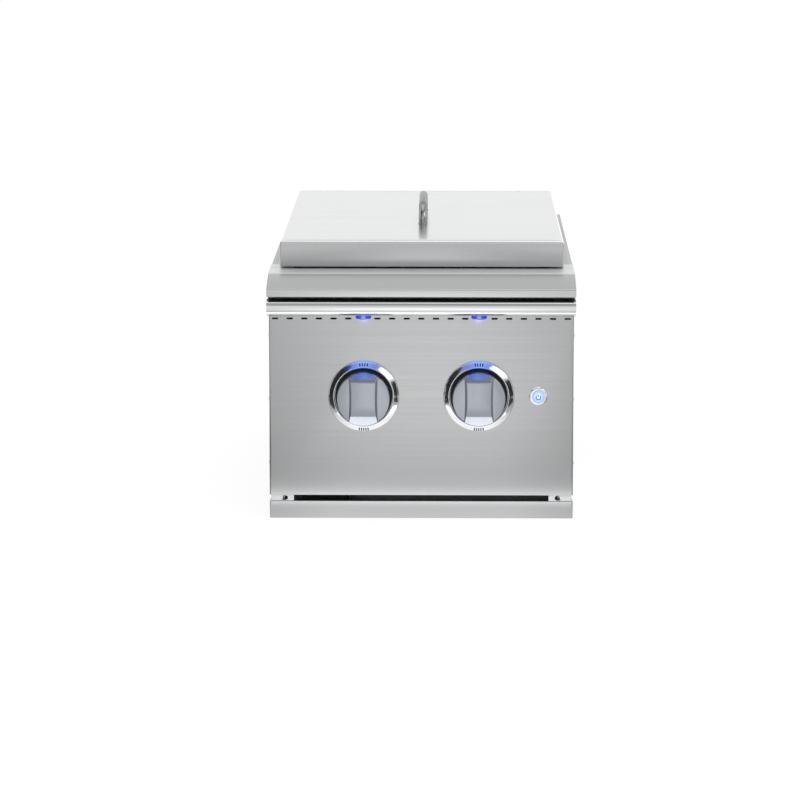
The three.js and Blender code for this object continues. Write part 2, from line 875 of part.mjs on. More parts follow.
function knob() {
  const back = -knobBackGap;
  const skirtFront = back - knobSkirt;
  const disc = turned("y", [0, 0], [
    [0, back],
    [knobRadius, back],
    [knobRadius, skirtFront + knobWall / 2],
    [knobRadius - knobWall / 2, skirtFront],
    [0, skirtFront],
  ]);
  // Seen from the side the grip slopes gently to its lower end and steeply to its upper one
  const sideProfile = [
    [back, -knobRadius],
    [skirtFront, -knobRadius],
    [-knobReach + knobWall / 2, -knobRadius / 2],
    [-knobReach, -knobRadius / 4],
    [-knobReach, knobRadius - 3 * knobWall],
    [-knobReach + knobWall / 2, knobRadius - 2 * knobWall],
    [skirtFront, knobRadius],
    [back, knobRadius],
  ];
  const halfWidth = gripWidth / 2;
  const side = extruded("x", sideProfile, [-halfWidth, halfWidth]);
  // Seen from the front its flanks are drawn in towards the middle
  const flankDepth = (gripWidth - gripWaist) / 2;
  const flankRadius = (knobRadius * knobRadius + flankDepth * flankDepth) / (2 * flankDepth);
  const flanks = [-1, 1].map((sign) => {
    const centre = [sign * (gripWaist / 2 + flankRadius), 0];
    return rod("y", centre, flankRadius, [-knobReach - overrun, skirtFront], flankSides);
  });
  const round = rod("y", [0, 0], knobRadius, [-knobReach, back], largeSides);
  const grip = cut(side.intersect(round), flanks);
  const behind = [skirtFront + knobWall, back + overrun];
  const hollow = ring("y", [0, 0], knobRadius - knobWall, knobHubRadius, behind);
  return cut(join(disc, grip), hollow, flatShaft(fitGap, [shaftFront - fitGap, back + overrun]));
}

function valveStem() {
  return flatShaft(0, [shaftFront, shaftBack]);
}

function valveBonnet() {
  const span = [sheet + fitGap, valveFront];
  return ring("y", [0, 0], bonnetRadius, shaftRadius + fitGap, span);
}

function pushCollar() {
  return ring("y", [0, 0], chamberRadius - fitGap, shaftRadius / 2, [shaftBack + fitGap, collarBack]);
}

function valveSpring() {
  const half = springWire / 2;
  const curve = new SpringCurve(springRadius, springTurns, springFront + half, springBack - half);
  return swept(curve, half, springTurns * springSteps, springWireSides);
}

function valveBody() {
  const halfWidth = valveWidth / 2;
  const halfHeight = valveHeight / 2;
  const body = block([-halfWidth, halfWidth], [valveFront, valveBack], [-halfHeight, halfHeight]);
  const stub = rod("z", [0, manifoldDepth], stubRadius, [-manifoldDrop, 0]);
  const pipe = hole("x", [manifoldDepth, -manifoldDrop], manifoldRadius + fitGap, [-valveWidth, valveWidth]);
  const chamber = rod("y", [0, 0], chamberRadius, [valveFront - overrun, chamberBack]);
  return cut(join(body, stub), pipe, chamber);
}

function orificeJet() {
  const hexEnd = valveBack + jetHexLength;
  return join(
    rod("y", [0, 0], jetHexRadius, [valveBack, hexEnd], hexSides),
    rod("y", [0, 0], jetTipRadius, [hexEnd, hexEnd + jetTipLength], smallSides),
  );
}

const valveLine = new THREE.Group();
valveLine.position.z = knobHeight;
burner.add(valveLine);

for (const [name, side] of Object.entries(sides)) {
  const station = new THREE.Group();
  station.position.x = (side * knobSpacing) / 2;
  valveLine.add(station);
  put(`${name}_bezel`, bezel(), "chrome", station);
  put(`${name}_knob`, knob(), "knobMetal", station);
  put(`${name}_valve_stem`, valveStem(), "plainSteel", station);
  put(`${name}_push_collar`, pushCollar(), "brass", station);
  put(`${name}_valve_spring`, valveSpring(), "plainSteel", station);
  put(`${name}_valve_body`, valveBody(), "brass", station);
  put(`${name}_valve_bonnet`, valveBonnet(), "brass", station);
  put(`${name}_orifice_jet`, orificeJet(), "brass", station);
}

// Lamp switch: a ringed barrel through the panel, its nut behind, and the button in it

const switchStation = new THREE.Group();
switchStation.position.set(switchOffset, 0, knobHeight);
burner.add(switchStation);

const buttonFront = -switchProud - buttonProud;
const buttonBack = buttonFront + buttonLength;

function switchBody() {
  const shell = join(
    rod("y", [0, 0], switchRadius, [-switchProud, 0]),
    rod("y", [0, 0], switchBarrel, [-switchProud, switchDepth]),
  );
  const well = [-switchProud - overrun, buttonBack + buttonTravel + fitGap];
  return cut(shell, rod("y", [0, 0], buttonRadius + fitGap, well));
}

function switchNut() {
  const span = [sheet, sheet + nutThickness];
  return cut(rod("y", [0, 0], nutRadius, span, hexSides), hole("y", [0, 0], switchBarrel + fitGap, span));
}

function lightButton() {
  return rod("y", [0, 0], buttonRadius, [buttonFront, buttonBack]);
}

put("switch_body", switchBody(), "chrome", switchStation);
put("switch_nut", switchNut(), "chrome", switchStation);
put("light_button", lightButton(), "blueLens", switchStation);

// Spark box that stands on the floor pan, with the cap of its battery on top

function sparkBox() {
  const top = sheet + sparkHeight;
  const outer = wallInner - wallFootWidth - sparkFootGap;
  const centre = [sparkWidth / 2 - outer, sparkFront + sparkDepth / 2];
  const box = block(
    [-outer, sparkWidth - outer],
    [sparkFront, sparkFront + sparkDepth - fitGap],
    [sheet, top],
  );
  return join(box, rod("z", centre, batteryCapRadius, [top, top + batteryCapHeight]));
}

put("spark_box", sparkBox(), "blackPlastic");

// Burner deck: a tray on the walls' shelves, with a bowl pressed into it under each burner

function pressedBowl(y) {
  const floorLevel = deckLevel - bowlDepth;
  const inner = tubeRadius + fitGap;
  return turned("z", [0, y], [
    [inner, floorLevel],
    [bowlFloor, floorLevel],
    [bowlRadius, deckLevel],
    [bowlRadius + sheet, deckLevel],
    [bowlRadius + sheet, deckTop],
    [bowlRadius - sheet / 2, deckTop],
    [bowlFloor - sheet / 2, floorLevel + sheet],
    [inner, floorLevel + sheet],
    [inner, floorLevel],
  ]);
}

function burnerDeck() {
  const edge = wallInner - deckEdgeGap;
  const span = [baffleBack + deckEdgeGap, wallBack - deckEdgeGap];
  const tray = block([-edge, edge], span, [deckLevel, deckTop + deckEdgeHeight]);
  const inside = block(
    [-edge + sheet, edge - sheet],
    [span[0] + sheet, span[1] - sheet],
    [deckTop, deckTop + deckEdgeHeight + overrun],
  );
  const places = Object.values(burnerPlaces);
  const openings = places.map((y) => hole("z", [0, y], bowlRadius, [deckLevel, deckTop], largeSides));
  const bowlSpan = [deckLevel - bowlDepth, deckLevel];
  const wires = places.map((y) => {
    return hole("z", [electrodeOffset, y], electrodeRadius + fitGap, bowlSpan, smallSides);
  });
  return cut(join(cut(tray, inside, openings), places.map(pressedBowl)), wires);
}

put("burner_deck", burnerDeck(), "polishedSteel");

// Burners, each with its mixing tube, head, cap and electrode

// The tube runs back from its mouth at the valve, then turns to the middle and up
function burnerTube(side, y) {
  const x = (side * knobSpacing) / 2;
  const mouth = new THREE.Vector3(x, tubeMouth, knobHeight);
  const bendStart = new THREE.Vector3(x, y - tubeBend, knobHeight);
  const bendEnd = new THREE.Vector3(0, y, tubeTop - 2 * tubeRadius);
  const top = new THREE.Vector3(0, y, tubeTop);
  const path = pathOf(
    new THREE.LineCurve3(mouth, bendStart),
    new THREE.CubicBezierCurve3(
      bendStart,
      new THREE.Vector3(x, y - tubeBend / 4, knobHeight),
      new THREE.Vector3(0, y, knobHeight + tubeRadius / 2),
      bendEnd,
    ),
    new THREE.LineCurve3(bendEnd, top),
  );
  const outside = swept(path, tubeRadius, pathSteps, smallSides);
  const centre = [x, knobHeight];
  const mouthSpan = [tubeMouth - overrun, tubeMouth + tubeBoreDepth];
  const mouthBore = rod("y", centre, tubeBore, mouthSpan, smallSides);
  const topBore = rod("z", [0, y], tubeBore, [tubeTop - tubeRadius, tubeTop + overrun], smallSides);
  const collarSpan = [tubeMouth + collarSetback, tubeMouth + collarSetback + collarLength];
  const airCollar = rod("y", centre, collarRadius, collarSpan);
  return cut(join(outside, airCollar), mouthBore, topBore, airWindows(x));
}

// Windows through the tube and the collar round its mouth, above, below and at both sides
function airWindows(x) {
  const half = airWindow / 2;
  const middle = tubeMouth + collarSetback + collarLength / 2;
  const y = [middle - half, middle + half];
  const reach = collarRadius + overrun;
  return [
    block([x - half, x + half], y, [knobHeight - reach, knobHeight + reach]),
    block([x - reach, x + reach], y, [knobHeight - half, knobHeight + half]),
  ];
}

function burnerHead(y) {
  const top = tubeTop + headHeight;
  const inner = headRadius - headWall;
  const head = turned("z", [0, y], [
    [tubeBore, tubeTop],
    [headNeck, tubeTop],
    [headNeck, tubeTop + headFlareLow],
    [headRadius - capEdge, tubeTop + headFlareHigh],
    [headRadius, tubeTop + headFlareHigh + capEdge],
    [headRadius, top],
    [inner, top],
    [inner - capEdge, top - headRecess],
    [tubeBore, top - headRecess],
    [tubeBore, tubeTop],
  ]);
  const ports = row(portCount, 360 / portCount).map((degrees) => {
    const port = new THREE.BoxGeometry(headRadius, portWidth, 2 * portDepth);
    port.translate(inner + headRadius / 4, 0, top);
    port.rotateZ(THREE.MathUtils.degToRad(degrees)).translate(0, y, 0);
    return solidOf(port);
  });
  return cut(head, join(ports));
}

function burnerCap(y) {
  const low = tubeTop + headHeight;
  return turned("z", [0, y], [
    [0, low],
    [capRadius + capEdge, low],
    [capRadius + capEdge, low + capHeight - capEdge],
    [capRadius, low + capHeight],
    [0, low + capHeight],
  ]);
}

// A ceramic rod with its collar on the bowl's floor, and a wire bent towards the burner's ports
function electrode(y) {
  const seat = deckTop - bowlDepth;
  const top = seat + electrodeAbove;
  const tipTop = top + electrodeTipRise;
  const x = electrodeOffset;
  return join(
    rod("z", [x, y], electrodeRadius, [seat - electrodeBelow, top], smallSides),
    rod("z", [x, y], electrodeCollar, [seat, seat + electrodeCollarHeight], smallSides),
    rod("z", [x, y], electrodeTip, [top, tipTop + electrodeTip], hexSides),
    rod("x", [y, tipTop], electrodeTip, [headRadius + electrodeRadius, x], hexSides),
  );
}

const burnerSides = { front: -1, rear: 1 };
for (const [name, y] of Object.entries(burnerPlaces)) {
  put(`${name}_burner_tube`, burnerTube(burnerSides[name], y), "plainSteel");
  put(`${name}_burner_head`, burnerHead(y), "brass");
  put(`${name}_burner_cap`, burnerCap(y), "castIron");
  put(`${name}_spark_electrode`, electrode(y), "ceramic");
}

// Grates: a bar frame on four legs, with plate fingers that reach in over the burner

function finger(axis, offset, centre, outer, sign) {
  const low = grateTop - grateFrameDrop;
  const outline = [
    [outer, low],
    [outer, grateTop - fingerDepth / 2],
    [outer - fingerDepth / 2, grateTop],
    [fingerReach, grateTop],
    [fingerReach, grateTop - fingerDepth],
    [outer - grateBar - fingerFoot, grateTop - fingerDepth],
    [outer - grateBar, low + grateBar],
    [outer - grateBar, low],
  ].map(([distance, level]) => [(axis === "x" ? centre : 0) + sign * distance, level]);
  const span = [offset - fingerWidth / 2, offset + fingerWidth / 2];
  return extruded(axis, outline, span);
}

function grate(y) {
  const low = grateTop - grateFrameDrop;
  const halfWidth = grateWidth / 2;
  const halfLength = grateLength / 2;
  const level = [low, low + grateBar];
  const frame = block([-halfWidth, halfWidth], [y - halfLength, y + halfLength], level);
  const inside = block(
    [-halfWidth + grateBar, halfWidth - grateBar],
    [y - halfLength + grateBar, y + halfLength - grateBar],
    [low - overrun, low + grateBar + overrun],
  );
  const fingers = [-1, 1].flatMap((sign) =>
    row(2, fingerSpread).flatMap((offset) => [
      finger("x", offset, y, halfLength, sign),
      finger("y", y + offset, 0, halfWidth, sign),
    ]),
  );
  const legs = row(2, grateWidth - grateBar).flatMap((x) =>
    row(2, grateLength - grateBar, y).map((legY) => {
      return rod("z", [x, legY], grateLegRadius, [deckTop, low], smallSides);
    }),
  );
  return join(cut(frame, inside), fingers, legs);
}

for (const [name, y] of Object.entries(burnerPlaces)) {
  put(`${name}_grate`, grate(y), "castIron");
}

// Lid: a pressed tray upside down with a flange turned in, on four bumpers

const lidY = [lidFront, lidBack];
const handleEnds = [handleFront, handleFront + handleLength];
const lidEnds = { front: 0, rear: 1 };

function lidShell() {
  const half = lidWidth / 2;
  const tray = block([-half, half], lidY, [lidBottom, lidTop]);
  const inside = block(
    [-half + sheet, half - sheet],
    [lidY[0] + sheet, lidY[1] - sheet],
    [lidBottom + sheet, lidTop - sheet],
  );
  const mouth = block(
    [-half + lidFlange, half - lidFlange],
    [lidY[0] + lidFlange, lidY[1] - lidFlange],
    [lidBottom - overrun, lidBottom + 2 * sheet],
  );
  const screws = handleEnds.map((y) => {
    return hole("z", [0, y], lidScrewRadius + fitGap, [lidTop - sheet, lidTop], smallSides);
  });
  return cut(tray, inside, mouth, screws);
}

function lidHandle() {
  const top = handleHeight - handleRadius;
  const bend = handleBend;
  const [front, back] = handleEnds;
  const point = (y, z) => new THREE.Vector3(0, y, lidTop + z);
  const path = pathOf(
    new THREE.LineCurve3(point(front, footThickness), point(front, top - bend)),
    new THREE.QuadraticBezierCurve3(point(front, top - bend), point(front, top), point(front + bend, top)),
    new THREE.LineCurve3(point(front + bend, top), point(back - bend, top)),
    new THREE.QuadraticBezierCurve3(point(back - bend, top), point(back, top), point(back, top - bend)),
    new THREE.LineCurve3(point(back, top - bend), point(back, footThickness)),
  );
  const bar = swept(path, handleRadius, pathSteps, smallSides);
  const feet = handleEnds.map((y) => {
    return rod("z", [0, y], footRadius, [lidTop, lidTop + footThickness]);
  });
  const span = [lidTop, lidTop + lidScrewDepth + fitGap];
  const threads = handleEnds.map((y) => rod("z", [0, y], lidScrewRadius + fitGap, span, smallSides));
  return cut(join(bar, feet), threads);
}

function handleScrew(y) {
  const under = lidTop - sheet;
  return join(
    rod("z", [0, y], lidScrewRadius, [under, lidTop + lidScrewDepth], smallSides),
    rod("z", [0, y], lidScrewHead, [under - lidScrewHeadHeight, under], hexSides),
  );
}

function lidBumper(side, y) {
  const x = (side * (lidWidth - lidFlange)) / 2;
  return rod("z", [x, y], bumperRadius, [rimTop + fitGap, lidBottom], smallSides);
}

put("lid_shell", lidShell(), "brushedSteel");
put("lid_handle", lidHandle(), "polishedSteel");
for (const [name, end] of Object.entries(lidEnds)) {
  const y = end ? lidBack - bumperInset : lidFront + bumperInset;
  put(`${name}_handle_screw`, handleScrew(handleEnds[end]), "plainSteel");
  for (const [sideName, side] of Object.entries(sides)) {
    put(`${name}_${sideName}_bumper`, lidBumper(side, y), "rubber");
  }
}

export default burner;
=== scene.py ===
# A built-in double side burner of brushed stainless steel, dressed over its CAD frame.
# Metres, +X to the right, +Y away from the person at the knobs, +Z up. Sizes are written in
# millimetres times MM.
import json
import math

import bmesh
import bpy
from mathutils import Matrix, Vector

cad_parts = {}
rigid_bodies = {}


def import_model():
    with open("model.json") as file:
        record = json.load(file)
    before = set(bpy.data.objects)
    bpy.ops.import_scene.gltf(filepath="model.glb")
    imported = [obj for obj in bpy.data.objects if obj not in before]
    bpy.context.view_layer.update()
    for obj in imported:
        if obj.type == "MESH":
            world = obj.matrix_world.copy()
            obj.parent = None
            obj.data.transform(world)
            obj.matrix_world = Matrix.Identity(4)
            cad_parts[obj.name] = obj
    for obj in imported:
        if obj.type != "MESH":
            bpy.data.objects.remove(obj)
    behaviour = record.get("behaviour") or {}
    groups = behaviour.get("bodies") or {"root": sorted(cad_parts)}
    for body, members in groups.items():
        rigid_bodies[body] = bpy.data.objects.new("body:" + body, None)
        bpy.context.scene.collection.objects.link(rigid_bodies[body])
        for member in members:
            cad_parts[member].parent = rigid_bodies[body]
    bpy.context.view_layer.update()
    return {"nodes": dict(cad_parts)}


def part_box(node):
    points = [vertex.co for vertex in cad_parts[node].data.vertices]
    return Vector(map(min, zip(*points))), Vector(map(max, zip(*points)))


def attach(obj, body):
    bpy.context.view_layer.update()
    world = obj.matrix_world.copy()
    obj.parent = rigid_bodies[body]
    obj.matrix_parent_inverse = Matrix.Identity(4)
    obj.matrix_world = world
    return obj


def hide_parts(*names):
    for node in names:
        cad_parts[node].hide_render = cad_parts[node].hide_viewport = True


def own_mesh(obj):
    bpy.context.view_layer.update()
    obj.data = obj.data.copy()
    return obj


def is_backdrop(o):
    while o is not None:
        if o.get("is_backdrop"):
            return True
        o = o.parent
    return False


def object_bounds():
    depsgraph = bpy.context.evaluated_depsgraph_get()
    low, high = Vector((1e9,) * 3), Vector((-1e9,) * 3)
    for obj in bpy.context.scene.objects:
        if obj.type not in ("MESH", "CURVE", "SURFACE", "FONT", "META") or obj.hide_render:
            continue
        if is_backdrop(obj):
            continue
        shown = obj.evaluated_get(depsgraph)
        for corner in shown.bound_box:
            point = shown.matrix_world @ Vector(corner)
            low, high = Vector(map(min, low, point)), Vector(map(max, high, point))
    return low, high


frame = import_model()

scene = bpy.context.scene
MM = 0.001


# Studio: a pale floor and sky, soft boxes out of the camera's sight, and black cards that only
# the metal mirrors. The camera is a long lens at a standing person's height, a little to the right.

camera_tilt, camera_turn = 9.574, 0.774
scene.view_settings.view_transform = "Standard"
lens_data = bpy.data.cameras.new("camera")
lens_data.lens = 164.5
camera = bpy.data.objects.new("camera", lens_data)
camera.location = (29.7 * MM, -4178 * MM, 789 * MM)
camera.rotation_euler = (math.radians(90 - camera_tilt), 0, math.radians(camera_turn))
scene.collection.objects.link(camera)
scene.camera = camera


def add_node(tree, kind, inputs, **settings):
    """A shader node with its inputs set, each to a value or to another node's output."""
    node = tree.nodes.new(kind)
    for setting, value in settings.items():
        setattr(node, setting, value)
    for socket, value in inputs.items():
        if isinstance(value, bpy.types.NodeSocket):
            tree.links.new(value, node.inputs[socket])
        else:
            node.inputs[socket].default_value = value
    return node


def calculated(tree, operation, *values):
    return add_node(tree, "ShaderNodeMath", dict(enumerate(values)), operation=operation).outputs[0]


def blended(tree, share, first, second):
    return add_node(tree, "ShaderNodeMix", {0: share, 2: first, 3: second}).outputs[0]


def mapped(tree, value, from_low, from_high, to_low, to_high):
    limits = {"From Min": from_low, "From Max": from_high, "To Min": to_low, "To Max": to_high}
    return add_node(tree, "ShaderNodeMapRange", {"Value": value, **limits}).outputs[0]


def parted(tree, coordinates):
    """The X, Y and Z of a shading point's place or direction."""
    place = tree.nodes.new("ShaderNodeTexCoord").outputs[coordinates]
    return add_node(tree, "ShaderNodeSeparateXYZ", {0: place}).outputs


def seen_directly(tree):
    """Two shares: 1 for the camera alone, and 1 for the camera, a mirror or glass."""
    path = tree.nodes.new("ShaderNodeLightPath").outputs
    mirrored = calculated(tree, "MAXIMUM", path["Is Glossy Ray"], path["Is Transmission Ray"])
    return path["Is Camera Ray"], calculated(tree, "MAXIMUM", path["Is Camera Ray"], mirrored)


# How bright the sky is in metal, ahead of the burner and behind it, near the horizon and high up
front_low, front_high = 0.88, 0.36
back_low, back_high = 1.22, 0.8
low_until, high_from = 0.2, 0.66
matt_level = 0.62

world = bpy.data.worlds.new("studio")
world.use_nodes = True
scene.world = world
sky = world.node_tree
sky.nodes.clear()
to_camera, to_any = seen_directly(sky)
heading = parted(sky, "Generated")
low_sky = mapped(sky, heading["Y"], -0.3, 0.3, front_low, back_low)
high_sky = mapped(sky, heading["Y"], -0.4, 0.4, front_high, back_high)
rise = mapped(sky, heading["Z"], low_until, high_from, 0.0, 1.0)
around = blended(sky, rise, low_sky, high_sky)
strength = blended(sky, to_any, matt_level, blended(sky, to_camera, around, 1.0))
background = add_node(sky, "ShaderNodeBackground", {"Color": (1, 1, 1, 1), "Strength": strength})
add_node(sky, "ShaderNodeOutputWorld", {"Surface": background.outputs[0]})


def stage_sheet(name, corners, material, steps=1):
    """A flat sheet of the set between four corners, with this many quads along each side."""
    near_left, near_right, far_right, far_left = (Vector(corner) for corner in corners)
    shares = [step / steps for step in range(steps + 1)]
    points = [
        near_left.lerp(far_left, up).lerp(near_right.lerp(far_right, up), across)
        for up in shares
        for across in shares
    ]
    row = steps + 1
    quads = [(at, at + 1, at + 1 + row, at + row) for at in range(steps * row) if (at + 1) % row]
    mesh = bpy.data.meshes.new(name)
    mesh.from_pydata(points, [], quads)
    mesh.materials.append(material)
    sheet = bpy.data.objects.new(name, mesh)
    scene.collection.objects.link(sheet)
    sheet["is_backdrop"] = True
    return sheet


# In metal the floor glows less beside the panel's middle and near the burner, but for a bright
# strip at its foot
floor_reach = 60.0
floor_glow = 0.82
floor_glow_near, floor_glow_far = 0.46, 0.95
floor_glow_beside = 0.40
floor_glow_close = 2.0
floor_matt, floor_plain = 0.3, 0.7
paper = bpy.data.materials.new("studio_paper")
paper.use_nodes = True
paper_tree = paper.node_tree
paper_tree.nodes.clear()
paper_camera, paper_any = seen_directly(paper_tree)
plain, pale = (
    add_node(paper_tree, "ShaderNodeBsdfDiffuse", {"Color": (level, level, level, 1)}).outputs[0]
    for level in (floor_plain, floor_matt)
)
paper_place = parted(paper_tree, "Object")
ahead = mapped(paper_tree, paper_place["Y"], -0.95, -0.42, floor_glow_far, floor_glow_near)
sideways = calculated(paper_tree, "ABSOLUTE", paper_place["X"])
falling = mapped(paper_tree, sideways, 0.10, 0.27, 1.0, floor_glow_beside)
rising = mapped(paper_tree, sideways, 0.4, 0.7, 0.0, 1.0)
beside = calculated(paper_tree, "MAXIMUM", falling, rising)
close_by = mapped(paper_tree, paper_place["Y"], -0.345, -0.32, 1.0, floor_glow_close)
mirrored_glow = calculated(paper_tree, "MULTIPLY", ahead, beside)
mirrored_glow = calculated(paper_tree, "MULTIPLY", mirrored_glow, close_by)
paper_glow = blended(paper_tree, paper_camera, mirrored_glow, floor_glow)
glow = add_node(paper_tree, "ShaderNodeEmission", {"Color": (1, 1, 1, 1), "Strength": paper_glow})
bright = add_node(paper_tree, "ShaderNodeAddShader", {0: pale, 1: glow.outputs[0]})
paper_mix = add_node(paper_tree, "ShaderNodeMixShader", {0: paper_any, 1: plain, 2: bright.outputs[0]})
add_node(paper_tree, "ShaderNodeOutputMaterial", {"Surface": paper_mix.outputs[0]})
floor_corners = [
    (x * floor_reach, y * floor_reach, 0) for x, y in ((-1, -1), (1, -1), (1, 1), (-1, 1))
]
stage_sheet("studio_floor", floor_corners, paper, steps=4)


def soft_box(name, place, target, width, height, brightness, colour=(1, 1, 1), in_metal=True):
    """A flat lamp that looks this bright from the front; the camera doesn't see it."""
    data = bpy.data.lights.new(name, "AREA")
    data.shape = "RECTANGLE"
    data.size = width
    data.size_y = height
    data.color = colour
    data.energy = math.pi * brightness * width * height
    lamp = bpy.data.objects.new(name, data)
    lamp.location = place
    lamp.rotation_mode = "QUATERNION"
    lamp.rotation_quaternion = (Vector(target) - Vector(place)).to_track_quat("-Z", "Y")
    lamp.visible_camera = False
    lamp.visible_glossy = in_metal
    scene.collection.objects.link(lamp)


soft_box("front_box", (0.0, -1.5, 0.30), (0, -0.27, 0.18), 0.5, 0.5, 0.35, in_metal=False)
soft_box("right_box", (0.64, -0.65, 0.71), (0, -0.28, 0.13), 0.55, 0.45, 1.5)
soft_box("low_box", (0.0, -0.36, 0.004), (0.0, -0.36, 1), 0.46, 0.046, 1.6)
soft_box("top_box", (0.0, -0.3, 1.9), (0, 0, 0.2), 1.6, 1.4, 0.7)
soft_box("left_box", (-1.8, -1.4, 1.2), (0, 0, 0.2), 0.9, 1.2, 0.5, in_metal=False)


def shader_of(tree):
    return tree.nodes["Principled BSDF"].inputs


def new_material(name, **constants):
    """A material with its Principled shader's plain values set on its own sockets."""
    material = bpy.data.materials.new(name)
    material.use_nodes = True
    for socket, value in constants.items():
        shader_of(material.node_tree)[socket.replace("_", " ")].default_value = value
    return material, material.node_tree


card_black = new_material("card_black", Base_Color=(0.02, 0.02, 0.02, 1), Roughness=0.9)[0]


def dark_card(name, place, target, width, height):
    """A black card at the side of the set, which gives bright metal its dark edges."""
    middle = Vector(place)
    turn = (Vector(target) - middle).to_track_quat("Z", "Y")
    across, up = turn @ Vector((width / 2, 0, 0)), turn @ Vector((0, height / 2, 0))
    corners = [middle - across - up, middle + across - up, middle + across + up, middle - across + up]
    card = stage_sheet(name, corners, card_black)
    for kind in ("camera", "diffuse", "transmission", "shadow"):
        setattr(card, f"visible_{kind}", False)


dark_card("left_card", (-0.72, -0.62, 0.425), (-0.06, -0.28, 0.13), 0.46, 1.06)
dark_card("right_card", (0.79, -0.61, 0.21), (0.06, -0.28, 0.13), 0.34, 0.44)
dark_card("right_floor_card", (0.55, -0.5, 0.003), (0.55, -0.5, 1), 0.46, 0.24)
dark_card("left_floor_card", (-0.66, -0.53, 0.003), (-0.66, -0.53, 1), 0.74, 0.36)


# Floor pan, walls and baffle: laser-cut mill-finish sheet, folded and spot-welded into a tub.
# Their edges are broken by hand, and small domed rivets hold the back wall to the sides.

def shader_group(name, inputs, *outputs):
    """An empty node group with these inputs and outputs; a tuple makes a vector input."""
    group = bpy.data.node_groups.new(name, "ShaderNodeTree")
    for socket, value in inputs.items():
        kind = "NodeSocketVector" if isinstance(value, tuple) else "NodeSocketFloat"
        made = group.interface.new_socket(name=socket, in_out="INPUT", socket_type=kind)
        made.default_value = value
    for socket in outputs:
        group.interface.new_socket(name=socket, in_out="OUTPUT", socket_type="NodeSocketFloat")
    return group, group.nodes.new("NodeGroupInput").outputs


def vector_result(tree, operation, *values, result="Vector"):
    node = add_node(tree, "ShaderNodeVectorMath", dict(enumerate(values)), operation=operation)
    return node.outputs[result]


def noise(tree, place, scale, detail=2.0, roughness=0.5):
    values = {"Vector": place, "Scale": scale, "Detail": detail, "Roughness": roughness}
    return add_node(tree, "ShaderNodeTexNoise", values).outputs[0]


def object_place(tree):
    return tree.nodes.new("ShaderNodeTexCoord").outputs["Object"]


# Grain of a brushed or rolled sheet: fine lines drawn out along one direction
grain_group, grain_in = shader_group(
    "sheet_grain", {"Stretch": (20.0, 1400.0, 1400.0)}, "Lines", "Height"
)
drawn_out = vector_result(grain_group, "MULTIPLY", object_place(grain_group), grain_in["Stretch"])
fine_lines = noise(grain_group, drawn_out, 1.0, 3.0, 0.65)
broad_lines = noise(grain_group, drawn_out, 0.17, 2.0, 0.5)
lines = blended(grain_group, 0.45, fine_lines, broad_lines)
add_node(grain_group, "NodeGroupOutput", {"Lines": lines, "Height": fine_lines})

# Clouds that handling and rolling leave on a sheet, a hand's width across
cloud_group, cloud_in = shader_group("handling_clouds", {"Scale": 9.0, "Contrast": 1.0}, "Cloud")
wide = noise(cloud_group, object_place(cloud_group), cloud_in["Scale"], 3.0, 0.55)
centred = calculated(cloud_group, "SUBTRACT", wide, 0.5)
spread = calculated(cloud_group, "MULTIPLY", centred, cloud_in["Contrast"])
add_node(cloud_group, "NodeGroupOutput", {"Cloud": calculated(cloud_group, "ADD", spread, 0.5)})


def grouped(tree, group, **inputs):
    node = tree.nodes.new("ShaderNodeGroup")
    node.node_tree = group
    for socket, value in inputs.items():
        node.inputs[socket].default_value = value
    return node.outputs


def between(tree, share, first, second):
    """A colour between two others, each three numbers or another node's output."""
    first, second = ((*end, 1) if isinstance(end, tuple) else end for end in (first, second))
    return add_node(tree, "ShaderNodeMix", {0: share, 6: first, 7: second}, data_type="RGBA").outputs[2]


def finished(tree, share, dark, light, sheen, span=(0.2, 0.8)):
    """Base colour from dark to light and roughness from one value to another, led by a share."""
    tree.links.new(between(tree, share, dark, light), shader_of(tree)["Base Color"])
    tree.links.new(mapped(tree, share, *span, *sheen), shader_of(tree)["Roughness"])


def bumped(tree, height, strength, distance):
    bump = add_node(tree, "ShaderNodeBump", {"Height": height, "Strength": strength, "Distance": distance})
    tree.links.new(bump.outputs[0], shader_of(tree)["Normal"])


def cool_grey(level, step=0.005):
    """A grey that gains a little in green and twice that in blue."""
    return level, level + step, level + 2 * step


ALONG_X = (6.0, 1600.0, 1600.0)
ALONG_Y = (1600.0, 6.0, 1600.0)
tool_mark_depth = 0.02 * MM


def steel(name, dark, light, sheen, stretch, relief, clouds=0.6):
    """Stainless sheet with its grain, from darker to lighter lines and between two roughnesses."""
    material, tree = new_material(name, Metallic=1.0)
    grain = grouped(tree, grain_group, Stretch=stretch)
    cloud = grouped(tree, cloud_group, Contrast=clouds)["Cloud"]
    shade = blended(tree, 0.35, mapped(tree, grain["Lines"], 0.35, 0.65, 0.0, 1.0), cloud)
    finished(tree, shade, dark, light, sheen)
    bumped(tree, grain["Height"], relief, tool_mark_depth)
    return material


mill_steel_x, mill_steel_y = (
    steel(name, cool_grey(0.40, 0.01), cool_grey(0.50, 0.01), (0.5, 0.36), stretch, relief=0.25, clouds=1.6)
    for name, stretch in (("mill_steel_across", ALONG_X), ("mill_steel_along", ALONG_Y))
)


def mesh_of(body, name):
    bmesh.ops.recalc_face_normals(body, faces=body.faces)
    mesh = bpy.data.meshes.new(name)
    body.to_mesh(mesh)
    body.free()
    return mesh


def softened(node):
    """A copy of a CAD part's mesh with each flat face in one piece, ready for a bevel."""
    body = bmesh.new()
    body.from_mesh(frame["nodes"][node].data)
    bmesh.ops.remove_doubles(body, verts=body.verts, dist=0.002 * MM)
    bmesh.ops.dissolve_limit(
        body, angle_limit=math.radians(0.5), verts=body.verts, edges=body.edges,
        use_dissolve_boundaries=False,
    )
    return mesh_of(body, node)


def body_of(node):
    return frame["nodes"][node].parent.name.split(":")[1]


